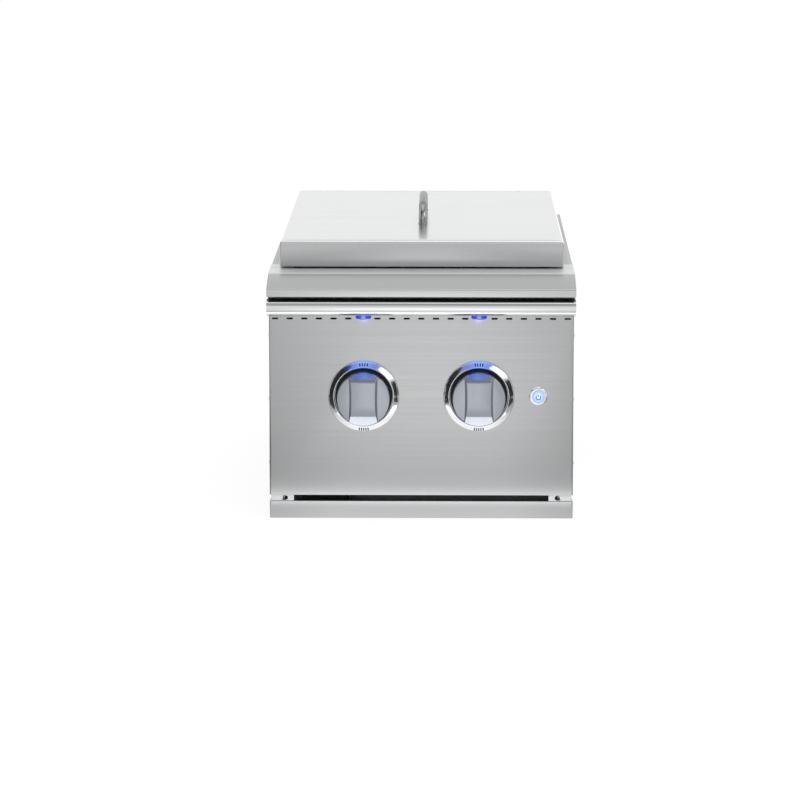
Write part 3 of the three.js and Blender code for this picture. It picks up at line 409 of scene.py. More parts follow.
def place(name, mesh, material, *stands_for, rides=None, edge=0.0, crease=30):
    """Puts a mesh on the body of the CAD nodes that it stands for, or on a body by name."""
    mesh.name = name
    mesh.polygons.foreach_set("use_smooth", [True] * len(mesh.polygons))
    mesh.set_sharp_from_angle(angle=math.radians(crease))
    if not mesh.materials:
        mesh.materials.append(material)
    piece = bpy.data.objects.new(name, mesh)
    scene.collection.objects.link(piece)
    if edge:
        bevel = piece.modifiers.new("broken_edges", "BEVEL")
        bevel.width = edge
        bevel.segments = 2
        bevel.limit_method = "ANGLE"
        bevel.angle_limit = math.radians(crease)
        bevel.harden_normals = True
    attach(piece, rides or body_of(stands_for[0]))
    if stands_for:
        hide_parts(*stands_for)
    return piece


def dressed(name, node, material, edge, crease=30):
    """A piece with the very shape of its CAD part, and its edges broken."""
    place(name, softened(node), material, node, edge=edge, crease=crease)


sheet_edge = 0.25 * MM
dressed("floor_sheet", "floor_pan", mill_steel_y, sheet_edge)
dressed("back_sheet", "back_wall", mill_steel_x, sheet_edge)
dressed("baffle_sheet", "front_baffle", mill_steel_x, sheet_edge)


def lofted(loops, closed=False):
    """A body through loops of points; a loop of one point is a pole. It ends in flat faces, or,
    when closed, its last loop meets its first."""
    body = bmesh.new()
    rings = [[body.verts.new(point) for point in loop] for loop in loops]
    count = max(len(ring) for ring in rings)
    for first, second in zip(rings, rings[1:] + rings[:1] if closed else rings[1:]):
        for step in range(count):
            after = (step + 1) % count
            corners = ((first, step), (first, after), (second, after), (second, step))
            face = list(dict.fromkeys(ring[at % len(ring)] for ring, at in corners))
            if len(face) > 2:
                body.faces.new(face)
    if not closed:
        body.faces.new(rings[0])
        body.faces.new(rings[-1])
    return mesh_of(body, "lofted")


def turned(profile, centre, axis="Y", sides=96):
    """A body turned around an axis; the profile's points are radius and level from the centre."""
    unit = {"X": Vector((1, 0, 0)), "Y": Vector((0, 1, 0)), "Z": Vector((0, 0, 1))}[axis]
    across = Vector((0, 0, 1)) if axis == "X" else Vector((1, 0, 0))
    third = unit.cross(across)
    angles = [2 * math.pi * step / sides for step in range(sides)]
    return lofted([
        [
            Vector(centre) + unit * level + (across * math.cos(a) + third * math.sin(a)) * radius
            for a in (angles if radius else [0])
        ]
        for radius, level in profile
    ], closed=True)


def merged(*meshes):
    """Several bodies in one mesh."""
    body = bmesh.new()
    for mesh in meshes:
        body.from_mesh(mesh)
    return mesh_of(body, "merged")


def dome(centre, axis, radius, rise, facing, steps=6):
    """A rivet's low domed head, which rises from its seat to the side that it faces."""
    sweep = [math.pi / 2 * step / steps for step in range(steps)]
    profile = [(radius * math.cos(a), facing * rise * math.sin(a)) for a in sweep]
    return turned([(0, 0), *profile, (0, facing * rise)], centre, axis, 24)


rivet_inset = 6 * MM
rivet_radius, rivet_rise = 2.8 * MM, 1.1 * MM
wall_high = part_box("back_wall")[1]
back_rivets = [
    dome((side * (wall_high.x - rivet_inset), wall_high.y, level * MM), "Y", rivet_radius, rivet_rise, 1)
    for side in (-1, 1)
    for level in (16, 76, 136, 196, 238)
]
place("back_rivets", merged(*back_rivets), mill_steel_x, rides="housing")


# Rim rails: brushed sheet folded into a flange that rests on the counter, with its skirt
# against the wall and its lip turned down inside.

def brushed(name):
    return steel(name, cool_grey(0.49), cool_grey(0.515), (0.24, 0.20), ALONG_X, relief=0.07)


brushed_across = brushed("brushed_steel_across")
rim_along, rim_across = (
    steel(name, cool_grey(0.36), cool_grey(0.40), (0.42, 0.34), stretch, relief=0.1)
    for name, stretch in (("rim_steel_along", ALONG_Y), ("rim_steel_across", ALONG_X))
)
for side in ("left", "right"):
    dressed(f"{side}_rim_sheet", f"{side}_rim_rail", rim_along, sheet_edge)
dressed("rear_rim_sheet", "rear_rim_rail", rim_across, sheet_edge)


# Gas line: drawn steel manifold with its hexagon plug, feed pipe and nut, and a brass flare
# fitting with a cut thread through the back wall. A strap holds the manifold.

pipe_edge = 0.5 * MM
dressed("manifold_pipe", "gas_manifold", mill_steel_x, pipe_edge, crease=35)
dressed("feed_pipe", "gas_feed_pipe", mill_steel_y, pipe_edge, crease=35)
dressed("manifold_strap", "manifold_clip", mill_steel_y, sheet_edge, crease=35)


def clouded(name, dark, light, sheen, scale, contrast, **constants):
    """A material, a metal unless told otherwise, whose colour and roughness drift in clouds."""
    material, tree = new_material(name, **{"Metallic": 1.0, **constants})
    cloud = grouped(tree, cloud_group, Scale=scale, Contrast=contrast)["Cloud"]
    finished(tree, cloud, dark, light, sheen)
    return material


# Turned brass: fine tool marks round the work and a thin brown tarnish in clouds
brass = clouded(
    "machined_brass", (0.47, 0.31, 0.12), (0.68, 0.51, 0.24), (0.42, 0.22), scale=60.0, contrast=1.8
)
tool_marks = grouped(brass.node_tree, grain_group, Stretch=(900.0, 900.0, 900.0))["Height"]
bumped(brass.node_tree, tool_marks, 0.2, tool_mark_depth)


def middle_of(node):
    low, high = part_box(node)
    return (low + high) / 2


hexagon = 6
thread_pitch = 1.8 * MM
thread_crest, thread_root = 9.5 * MM, 8.75 * MM
inlet_low, inlet_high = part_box("inlet_fitting")
inlet_middle = middle_of("inlet_fitting")
inlet_axis = Vector((inlet_middle.x, 0, inlet_middle.z))
inlet_wall, inlet_end = wall_high.y, inlet_high.y
inlet_nut_end = inlet_wall + 7 * MM
thread_points = [(thread_root, inlet_nut_end)]
crest = inlet_nut_end + thread_pitch / 2
while crest < inlet_end - thread_pitch:
    thread_points += [(thread_crest, crest), (thread_root, crest + thread_pitch / 2)]
    crest += thread_pitch
flare_bore, flare_depth = 5 * MM, 12 * MM
thread_points += [
    (thread_crest - 1.2 * MM, inlet_end - 0.6 * MM), (flare_bore + 0.8 * MM, inlet_end),
    (flare_bore, inlet_end - 0.8 * MM), (flare_bore, inlet_end - flare_depth),
    (0, inlet_end - flare_depth), (0, inlet_nut_end),
]
shank_radius = 9.7 * MM
inlet_shank = turned([
    (0, inlet_low.y), (shank_radius - 0.5 * MM, inlet_low.y), (shank_radius, inlet_low.y + 0.6 * MM),
    (shank_radius, inlet_wall), (0, inlet_wall),
], inlet_axis, sides=64)
nut_radius, nut_chamfer = 14 * MM, 0.8 * MM
inlet_nut = turned([
    (0, inlet_wall), (nut_radius - nut_chamfer, inlet_wall), (nut_radius, inlet_wall + nut_chamfer),
    (nut_radius, inlet_nut_end - nut_chamfer), (nut_radius - nut_chamfer, inlet_nut_end),
    (0, inlet_nut_end),
], inlet_axis, sides=hexagon)
inlet_thread = turned(thread_points, inlet_axis, sides=64)
place("inlet_flare", merged(inlet_shank, inlet_nut, inlet_thread), brass, "inlet_fitting")


# Valves: forged brass bodies with turned bonnets and jets, on the manifold. A steel stem with
# one flat goes through the panel; a collar and a coil spring push the knob back out.

def swept(points, radius, sides=16):
    """A round bar along a line of points, with flat ends."""
    points = [Vector(point) for point in points]
    side = (points[1] - points[0]).normalized().orthogonal().normalized()
    loops = []
    for index, point in enumerate(points):
        heading = (points[min(index + 1, len(points) - 1)] - points[max(index - 1, 0)]).normalized()
        side = (side - heading * side.dot(heading)).normalized()
        third = heading.cross(side)
        loops.append([
            point + (side * math.cos(a) + third * math.sin(a)) * radius
            for a in (2 * math.pi * step / sides for step in range(sides))
        ])
    return lofted(loops)


def coil(low, high, wire, turns, steps=28):
    """A helix of wire around Y that fills the box between two corners."""
    middle = (low + high) / 2
    radius = (high.x - low.x) / 2 - wire
    length = high.y - low.y - 2 * wire
    points = []
    for share in (step / (turns * steps) for step in range(turns * steps + 1)):
        angle = 2 * math.pi * turns * share
        points.append((
            middle.x + radius * math.cos(angle), low.y + wire + length * share,
            middle.z + radius * math.sin(angle),
        ))
    return swept(points, wire, 12)


valve_parts = (
    ("valve_casting", "valve_body", brass, 0.8), ("bonnet", "valve_bonnet", brass, 0.4),
    ("jet", "orifice_jet", brass, 0.3), ("stem", "valve_stem", mill_steel_y, 0.3),
    ("collar", "push_collar", brass, 0.2),
)
spring_wire, spring_turns = 0.5 * MM, 4
for side in ("left", "right"):
    for piece, node, metal, edge in valve_parts:
        dressed(f"{side}_{piece}", f"{side}_{node}", metal, edge * MM)
    low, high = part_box(f"{side}_valve_spring")
    helix = coil(low, high, spring_wire, spring_turns)
    spring = place(f"{side}_spring", helix, mill_steel_y, f"{side}_valve_spring")
    middle = middle_of(f"{side}_valve_spring")
    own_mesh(spring)


# Spark box: moulded black plastic with the battery's screw cap on top.
# The grain of the mould shows on its walls.

def speckled(name, dark, light, sheen, scale, roughness, relief):
    """A dull dark surface; one fine noise leads its colour, its roughness and its relief."""
    material, tree = new_material(name, Metallic=0.0)
    speckle = noise(tree, object_place(tree), scale, 3.0, roughness)
    finished(tree, speckle, dark, light, sheen, span=(0.3, 0.7))
    bumped(tree, speckle, relief, 0.05 * MM)
    return material


plastic = speckled(
    "moulded_plastic", (0.014, 0.014, 0.016), (0.026, 0.026, 0.028), (0.42, 0.58),
    scale=1600.0, roughness=0.6, relief=0.4,
)
dressed("spark_housing", "spark_box", plastic, 1.2 * MM)


# Burner deck: a polished tray with a drawn bowl under each burner, each bowl's rolled rim
# lapped over the tray's round opening.

def rounded_path(corners, steps=6):
    """Points along lines between corners (a, b, radius), each turned with an arc of its radius."""
    points = []
    for index, (a, b, radius) in enumerate(corners):
        here = Vector((a, b))
        if radius == 0 or index in (0, len(corners) - 1):
            points.append(here)
            continue
        back = (Vector(corners[index - 1][:2]) - here).normalized()
        on = (Vector(corners[index + 1][:2]) - here).normalized()
        half = back.angle(on) / 2
        centre = here + (back + on).normalized() * (radius / math.sin(half))
        start = here + back * (radius / math.tan(half)) - centre
        end = here + on * (radius / math.tan(half)) - centre
        turn = start.angle(end)
        for share in (step / steps for step in range(steps + 1)):
            swung = start * math.sin((1 - share) * turn) + end * math.sin(share * turn)
            points.append(centre + swung / math.sin(turn))
    return points


def nested(low, high, corner, profile, steps=6):
    """Loops of one rectangle with round corners, each at its own inset and level."""
    loops = []
    for inset, level in profile:
        radius = max(corner - inset, 0.3 * MM)
        left, right = low.x + inset + radius, high.x - inset - radius
        near, far = low.y + inset + radius, high.y - inset - radius
        loops.append([
            (x + radius * math.cos(angle), y + radius * math.sin(angle), level)
            for quarter, (x, y) in enumerate([(right, far), (left, far), (left, near), (right, near)])
            for angle in (math.pi / 2 * (quarter + step / steps) for step in range(steps + 1))
        ])
    return loops


def carved(solid, tool, how="DIFFERENCE"):
    """A solid with a tool cut away from it, joined to it or kept in common."""
    block, cutter = (bpy.data.objects.new(mesh.name, mesh) for mesh in (solid, tool))
    for helper in (block, cutter):
        scene.collection.objects.link(helper)
    boolean = block.modifiers.new("carve", "BOOLEAN")
    boolean.operation = how
    boolean.solver = "EXACT"
    boolean.object = cutter
    depsgraph = bpy.context.evaluated_depsgraph_get()
    mesh = bpy.data.meshes.new_from_object(block.evaluated_get(depsgraph))
    for helper in (block, cutter):
        bpy.data.objects.remove(helper)
    return mesh


def round_bar(radius, start, end, centre, axis="Y", sides=96):
    """A plain round bar, most often to cut a hole with."""
    return turned([(0, start), (radius, start), (radius, end), (0, end)], centre, axis, sides)


sheet = 1.5 * MM
polished = steel("polished_steel", cool_grey(0.68), cool_grey(0.76), (0.19, 0.10), ALONG_X, relief=0.12)
deck_low, deck_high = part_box("burner_deck")
bowl_radius, bowl_floor, bowl_drop = 70 * MM, 60 * MM, 8 * MM
deck_level = deck_low.z + bowl_drop
tray_reach = 30 * MM
tray = lofted(nested(deck_low, deck_high, 4 * MM, [
    *rounded_path([(tray_reach, deck_level, 0), (0, deck_level, 2 * MM), (0, deck_high.z, 0)]),
    *rounded_path([
        (sheet, deck_high.z, 0), (sheet, deck_level + sheet, 1 * MM), (tray_reach, deck_level + sheet, 0),
    ]),
]))
burner_places = {end: Vector((0, middle_of(f"{end}_burner_head").y, 0)) for end in ("front", "rear")}
openings = merged(*(
    round_bar(bowl_radius, deck_level - 2 * MM, deck_level + 4 * MM, spot, "Z")
    for spot in burner_places.values()
))
tube_hole = 11.3 * MM
wire_offset, wire_hole = 51 * MM, 3.3 * MM
rim_fold, rim_reach = 0.9 * MM, bowl_radius + 4 * MM
bowl_low, bowl_high = deck_low.z, deck_level + sheet
bowl_inside = rounded_path([
    (tube_hole, bowl_low + sheet, 0), (bowl_floor, bowl_low + sheet, 4 * MM),
    (bowl_radius - 1.2 * MM, bowl_high + rim_fold, 1.5 * MM), (rim_reach, bowl_high + rim_fold, 0),
])
bowl_outside = rounded_path([
    (rim_reach, bowl_high, 0), (bowl_radius - 0.3 * MM, bowl_high, 0.5 * MM),
    (bowl_floor + 1.2 * MM, bowl_low, 4 * MM), (tube_hole, bowl_low, 0),
])
bowls = []
for end, spot in burner_places.items():
    wire_place = Vector((wire_offset, middle_of(f"{end}_spark_electrode").y, 0))
    drill = round_bar(wire_hole, bowl_low - 1 * MM, bowl_low + 4 * MM, wire_place, "Z", 24)
    bowls.append(carved(turned(bowl_inside + bowl_outside, spot, "Z"), drill))
place("deck_tray", merged(carved(tray, openings), *bowls), polished, "burner_deck", crease=40)


# Burners: pressed steel mixing tubes with air shutters, cast brass heads with sawn ports and
# black enamelled caps. Each has a ceramic spark rod with a bent steel wire.

for end in ("front", "rear"):
    dressed(f"{end}_mixing_tube", f"{end}_burner_tube", mill_steel_y, 0, crease=45)

# Enamel on cast iron: the sand of the mould under a thin black glaze
enamel, enamel_tree = new_material("cast_iron_enamel", Metallic=0.0)
cast_group, cast_in = shader_group("cast_sand", {"Scale": 700.0}, "Sand", "Height")
sand = noise(cast_group, object_place(cast_group), cast_in["Scale"], 4.0, 0.6)
pits = add_node(
    cast_group, "ShaderNodeTexVoronoi", {"Vector": object_place(cast_group), "Scale": 420.0}
).outputs["Distance"]
add_node(cast_group, "NodeGroupOutput", {"Sand": sand, "Height": blended(cast_group, 0.35, sand, pits)})
grains = grouped(enamel_tree, cast_group)
finished(
    enamel_tree, grains["Sand"], (0.012, 0.012, 0.013), (0.045, 0.045, 0.048), (0.38, 0.62),
    span=(0.3, 0.7),
)
bumped(enamel_tree, grains["Height"], 0.6, 0.25 * MM)
glaze = clouded(
    "ceramic_glaze", (0.78, 0.76, 0.70), (0.86, 0.85, 0.81), (0.35, 0.22), scale=300.0,
    contrast=1.5, Metallic=0.0, Coat_Weight=0.4,
)

port_count = 16
port_width, port_depth = 3 * MM, 4 * MM
head_wall, head_recess, head_neck, head_bore = 9 * MM, 12 * MM, 14 * MM, 9 * MM
wire_level = deck_low.z + sheet + 20 * MM
for end, spot in burner_places.items():
    low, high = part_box(f"{end}_burner_head")
    outer = (high.x - low.x) / 2
    inner = outer - head_wall
    head = turned(rounded_path([
        (head_bore, low.z, 0), (head_neck, low.z, 0.6 * MM), (head_neck, low.z + 6 * MM, 2 * MM),
        (outer - 2 * MM, low.z + 15 * MM, 3 * MM), (outer, low.z + 18 * MM, 2 * MM),
        (outer, high.z, 0.8 * MM), (inner, high.z, 0.8 * MM),
        (inner - 2 * MM, high.z - head_recess, 2 * MM), (head_bore, high.z - head_recess, 0),
    ], 5), spot, "Z")
    saw_cuts = []
    for port in range(port_count):
        angle = 2 * math.pi * (port + 0.5) / port_count
        out = Vector((math.cos(angle), math.sin(angle), 0))
        across = Vector((-out.y, out.x, 0)) * (port_width / 2)
        near, far = spot + out * (inner - 3 * MM), spot + out * (outer + 2 * MM)
        saw_cuts.append(lofted([
            [corner + Vector((0, 0, level))
             for corner in (near - across, far - across, far + across, near + across)]
            for level in (high.z - port_depth, high.z + 1 * MM)
        ]))
    place(f"{end}_head_casting", carved(head, merged(*saw_cuts)), brass, f"{end}_burner_head", crease=35)
    low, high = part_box(f"{end}_burner_cap")
    radius = (high.x - low.x) / 2
    cap = rounded_path([
        (0, low.z, 0), (radius, low.z, 0.6 * MM), (radius, high.z - 1.2 * MM, 1 * MM),
        (radius - 9 * MM, high.z, 8 * MM), (0, high.z, 0),
    ], 5)
    place(f"{end}_enamel_cap", turned(cap, spot, "Z"), enamel, f"{end}_burner_cap")
    rod = softened(f"{end}_spark_electrode")
    rod.materials.append(glaze)
    rod.materials.append(mill_steel_y)
    for face in rod.polygons:
        face.material_index = int(face.center.z > wire_level + 0.1 * MM)
    place(f"{end}_spark_rod", rod, glaze, f"{end}_spark_electrode", edge=0.2 * MM, crease=40)


# Grates: cast iron bar frames on four legs, with plate fingers that reach in over the burner.
# Their corners are rounded by the mould.

for end in ("front", "rear"):
    dressed(f"{end}_grate_casting", f"{end}_grate", enamel, 1.0 * MM, crease=40)


# Bottom rail and brackets: the rail is a shallow brushed channel at the foot of the front,
# and the brackets join it to the panel across the air gap.

def extruded(outline, axis, low, high):
    """A closed body with an outline drawn across an axis, between two levels along it."""
    order = {"X": (2, 0, 1), "Y": (0, 2, 1), "Z": (0, 1, 2)}[axis]
    return lofted([
        [[(*point, level)[which] for which in order] for point in outline]
        for level in (low, high)
    ])


def folded(path, thickness=sheet):
    """The outline of a sheet that follows a path, with its thickness on the path's left."""
    lefts = [
        Vector((first.y - second.y, second.x - first.x)).normalized()
        for first, second in zip(path, path[1:])
    ]
    inner = []
    for index, point in enumerate(path):
        before, after = lefts[max(index - 1, 0)], lefts[min(index, len(lefts) - 1)]
        inner.append(point + (before + after) * (thickness / (1 + before.dot(after))))
    return [*path, *reversed(inner)]


def rectangle(left, bottom, right, top):
    return [(left, bottom), (right, bottom), (right, top), (left, top)]


panel_low, panel_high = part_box("control_panel")
panel_face = panel_low.y
fold_radius = 2.2 * MM
bracket_room = 26.8 * MM


def on_panel(centre):
    return Vector((centre.x, panel_face, centre.z))


def front_channel(low, high, returns):
    """A front sheet folded back at both sides, with narrower returns turned in at some levels."""
    plan = rounded_path([
        (panel_low.x, panel_high.y, 0), (panel_low.x, panel_face, fold_radius),
        (panel_high.x, panel_face, fold_radius), (panel_high.x, panel_high.y, 0),
    ])
    face = extruded(folded(plan), "Z", low, high)
    inner = panel_high.x - bracket_room
    return face, [
        extruded(rectangle(-inner, panel_face + sheet, inner, panel_face + reach), "Z", level, level + sheet)
        for level, reach in returns
    ]


front_edge = 0.45 * MM
rail_low, rail_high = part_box("bottom_rail")
rail_face, rail_returns = front_channel(
    rail_low.z, rail_high.z, [(rail_high.z - sheet, 12 * MM), (rail_low.z, 15.7 * MM)]
)
place("rail_channel", merged(rail_face, *rail_returns), brushed_across, "bottom_rail", edge=front_edge)
for side in ("left", "right"):
    dressed(f"{side}_bracket_sheet", f"{side}_panel_bracket", brushed_across, sheet_edge)


# Control panel: one brushed sheet folded back on all four sides, with a row of vent slots
# under the nose and holes for the valve stems and the lamp switch.

def slot_outline(centre, length, height, steps=8):
    """A slot with round ends, long along its first coordinate."""
    radius = height / 2
    reach = length / 2 - radius
    return [
        Vector((centre[0] + sign * reach + radius * math.cos(a), centre[1] + radius * math.sin(a)))
        for sign in (1, -1)
        for a in (math.radians(-90 * sign + 180 * step / steps) for step in range(steps + 1))
    ]


nose_low, nose_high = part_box("front_nose")
nose_bottom = nose_high.z - 18 * MM
slot_pitch, slot_length, slot_height = 15.8 * MM, 6.6 * MM, 1.8 * MM
slot_count = 21
slot_level = nose_bottom - 6 * MM
stem_hole, switch_hole = 8 * MM, 8.1 * MM
knob_boxes = {side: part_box(f"{side}_knob") for side in ("left", "right")}
knob_centres = {side: middle_of(f"{side}_knob") for side in knob_boxes}
switch_low, switch_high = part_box("switch_body")
switch_centre = middle_of("switch_body")
punches = [
    extruded(slot_outline(((step - (slot_count - 1) / 2) * slot_pitch, slot_level), slot_length, slot_height),
             "Y", panel_face - 1 * MM, panel_face + 3 * MM)
    for step in range(slot_count)
]
punches += [
    round_bar(radius, -1 * MM, 3 * MM, on_panel(centre), "Y", 64)
    for centre, radius in [
        *((centre, stem_hole) for centre in knob_centres.values()), (switch_centre, switch_hole),
    ]
]
# Painted shade: a black pad in a pocket of each side wall, behind the end vent slots, keeps those slots dark
shade_pad_across, shade_pad_up = 5.5 * MM, 3 * MM
shade_pad_depth, shade_pad_gap = 0.9 * MM, 0.3 * MM
for sign, side in ((-1, "left"), (1, "right")):
    wall = f"{side}_side_wall"
    wall_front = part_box(wall)[0].y
    slot_x = sign * (slot_count - 1) / 2 * slot_pitch
    pad = rectangle(slot_x - shade_pad_across, slot_level - shade_pad_up, slot_x + shade_pad_across, slot_level + shade_pad_up)
    pocket = extruded(pad, "Y", wall_front - shade_pad_depth, wall_front + shade_pad_depth)
    place(f"{side}_wall_sheet", carved(softened(wall), pocket), mill_steel_y, wall, edge=sheet_edge)
    shade_pad = extruded(pad, "Y", wall_front + shade_pad_gap, wall_front + shade_pad_depth)
    place(f"{side}_foam_tape", shade_pad, plastic, rides="housing")
panel_sheet, panel_returns = front_channel(
    panel_low.z, panel_high.z, [(panel_low.z, 12 * MM), (panel_high.z - sheet, 20 * MM)]
)
place("panel_sheet", merged(carved(panel_sheet, merged(*punches)), *panel_returns), brushed_across,
      "control_panel", edge=0.3 * MM)
panel_rivets = [
    dome((sign * panel_high.x, panel_face + 11 * MM, level * MM), "X", 2.4 * MM, 0.9 * MM, sign)
    for sign in (-1, 1)
    for level in (60, 130, 200)
]
place("panel_rivets", merged(*panel_rivets), mill_steel_y, rides="housing")


# Bezels: spun rings, bright chrome plated, over a black fibre gasket. Small generic marks are
# filled with dark enamel: ticks at the top and bottom, and a dot at the left.

def chrome_plate(name, **constants):
    return clouded(
        name, cool_grey(0.78, 0.01), cool_grey(0.84, 0.01), (0.14, 0.10), scale=45.0, contrast=1.2,
        **constants,
    )


def recoloured(material, where, colour):
    """Gives a material another colour where a share is 1."""
    tree = material.node_tree
    base = shader_of(tree)["Base Color"]
    tree.links.new(between(tree, where, base.links[0].from_socket, colour), base)


# Light that runs out from a centre: its edge value is 0 there and 1 at a reach away
lit_group, lit_in = shader_group(
    "lit_falloff", {"Centre": (0.0, 0.0, 0.0), "Reach": (1.0, 1.0, 1.0)}, "Edge"
)
mirrored_place = vector_result(lit_group, "ABSOLUTE", object_place(lit_group))
from_centre = vector_result(lit_group, "SUBTRACT", mirrored_place, lit_in["Centre"])
in_reaches = vector_result(lit_group, "DIVIDE", from_centre, lit_in["Reach"])
distance = vector_result(lit_group, "LENGTH", in_reaches, result="Value")
add_node(lit_group, "NodeGroupOutput", {"Edge": calculated(lit_group, "MINIMUM", distance, 1.0)})

# The same plate with a painted blue glow and a painted blue reflection at the tops of both rings, standing in
# for the blue lamps' light
chrome = chrome_plate("bright_chrome")
painted_glow_chrome = chrome_plate("lamp_lit_chrome", Emission_Strength=0.8)
painted_glow_tree = painted_glow_chrome.node_tree
far_reach = 1.0
bezel_middle = knob_centres["right"]
painted_glow_edge = grouped(
    painted_glow_tree, lit_group, Centre=(bezel_middle.x, 0.0, bezel_middle.z + 36 * MM),
    Reach=(27 * MM, far_reach, 15 * MM),
)["Edge"]
painted_glow_share = mapped(painted_glow_tree, painted_glow_edge, 0.25, 1.0, 1.0, 0.0)
painted_glow_core = mapped(painted_glow_tree, painted_glow_edge, 0.15, 0.6, 0.0, 1.0)
painted_glow_blue = between(painted_glow_tree, painted_glow_core, (0.28, 0.46, 0.9), (0.03, 0.1, 0.7))
recoloured(painted_glow_chrome, painted_glow_share, (0.20, 0.34, 0.80))
painted_glow_tree.links.new(between(painted_glow_tree, painted_glow_share, (0, 0, 0), painted_glow_blue), shader_of(painted_glow_tree)["Emission Color"])


def read_off(path, at):
    """The second coordinate of a path where its first one has this value."""
    for first, second in zip(path, path[1:]):
        if first.x != second.x and min(first.x, second.x) <= at <= max(first.x, second.x):
            return first.y + (second.y - first.y) * (at - first.x) / (second.x - first.x)


def ring_mark(centre, profile, near, far, middle, width, rows=4):
    """A thin filled mark that follows the ring's face, between two radii and round an angle."""
    start, end = middle - width / 2, middle + width / 2
    corners = [Vector(c) for c in ((near, start), (near, end), (far, end), (far, start))]
    outline = [
        first.lerp(second, step / rows)
        for first, second in zip(corners, corners[1:] + corners[:1])
        for step in range(rows)
    ]
    return lofted([
        [
            (
                centre.x + radius * math.cos(math.radians(degrees)),
                panel_face + read_off(profile, radius) - level,
                centre.z + radius * math.sin(math.radians(degrees)),
            )
            for radius, degrees in outline
        ]
        for level in (0.06 * MM, -0.3 * MM)
    ])


bezel_width = 6.9 * MM
gasket_bore, gasket_gap, gasket_height = 9 * MM, 0.4 * MM, 0.8 * MM
for side, centre in knob_centres.items():
    low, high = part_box(f"{side}_bezel")
    height = high.y - low.y
    outer = (high.x - low.x) / 2
    inner = outer - bezel_width
    profile = rounded_path([
        (outer, 0, 0), (outer, -4 * MM, 2.4 * MM), (inner + 1 * MM, -height, 0.8 * MM),
        (inner, -height + 0.7 * MM, 0.4 * MM), (inner, 0, 0),
    ])
    seat = on_panel(centre)
    place(f"{side}_bezel_ring", turned(profile, seat, "Y", 128), painted_glow_chrome, f"{side}_bezel")
    marks = [
        ring_mark(centre, profile, inner + near * MM, outer - far * MM, middle + offset, width)
        for near, far, middle, width, offsets in (
            (2, 1.9, 90, 2.2, (-6.6, -2.2, 2.2, 6.6)),
            (2.6, 0.9, 270, 2.0, (-7.6, -3.8, 0, 3.8, 7.6)),
            (2, 1.4, 181, 5.4, (0,)),
        )
        for offset in offsets
    ]
    place(f"{side}_bezel_marks", merged(*marks), plastic, rides="housing")
    gasket = turned([
        (gasket_bore, 0), (inner - gasket_gap, 0), (inner - gasket_gap, -gasket_height),
        (gasket_bore, -gasket_height),
    ], seat)
    place(f"{side}_gasket", gasket, plastic, rides="housing")


# Knobs: die-cast shells with a satin plate. A deep round skirt ends in flat cheeks, and a
# broad grip with drawn-in flanks stands across them, sloping to its lower end.

satin, satin_tree = new_material("satin_plate", Metallic=1.0)
satin_grain = grouped(satin_tree, grain_group, Stretch=(900.0, 900.0, 500.0))
satin_cloud = grouped(satin_tree, cloud_group, Scale=40.0)["Cloud"]
satin_colour = between(satin_tree, satin_cloud, (0.385, 0.41, 0.455), (0.415, 0.44, 0.485))
satin_sheen = mapped(satin_tree, satin_grain["Lines"], 0.3, 0.7, 0.20, 0.27)
satin_tree.links.new(satin_colour, shader_of(satin_tree)["Base Color"])
satin_tree.links.new(satin_sheen, shader_of(satin_tree)["Roughness"])
bumped(satin_tree, satin_grain["Height"], 0.1, tool_mark_depth)

cheek_depth = 26 * MM
waist_half, waist_draw = 12.9 * MM, 1.3 * MM
flank_draft, flank_edge = 0.3, 0.7 * MM
grip_foot = 9 * MM
top_slope = 1.58
grip_stations = 72
shaft_radius, shaft_depth = 4.3 * MM, 21.8 * MM
knob_wall, knob_hub = 3 * MM, 8.5 * MM


def grip_side(radius, reach):
    """Height against depth along the middle of the grip, from its lower end to its upper one."""
    return rounded_path([
        (-radius - 2 * MM, cheek_depth - 0.9 * MM, 0), (-17.4 * MM, reach - 1.7 * MM, 0.5 * MM),
        (-11.4 * MM, reach, 41 * MM),
        (19.2 * MM, reach, 2.5 * MM), (22.4 * MM, reach - 1.5 * MM, 1 * MM),
        (radius + 2 * MM, reach - 1.5 * MM - top_slope * (radius - 20.4 * MM), 0),
    ], 10)


def grip(centre, radius, reach):
    """A loft along the grip's height; each section is a bar with sloped flanks and soft edges."""
    side_line = grip_side(radius, reach)
    end = radius + 1.5 * MM
    foot = cheek_depth - grip_foot
    loops = []
    for station in range(grip_stations + 1):
        level = -end + 2 * end * station / grip_stations
        top = read_off(side_line, level)
        face_half = waist_half + waist_draw * (level / radius) ** 2
        foot_half, top_half = (face_half + flank_draft * (reach - depth) for depth in (foot, top))
        section = rounded_path([
            (-foot_half, foot, 0), (-top_half, top, flank_edge),
            (top_half, top, flank_edge), (foot_half, foot, 0),
        ], 4)
        loops.append([
            (centre.x + across, panel_face - depth, centre.z + level) for across, depth in section
        ])
    return lofted(loops)


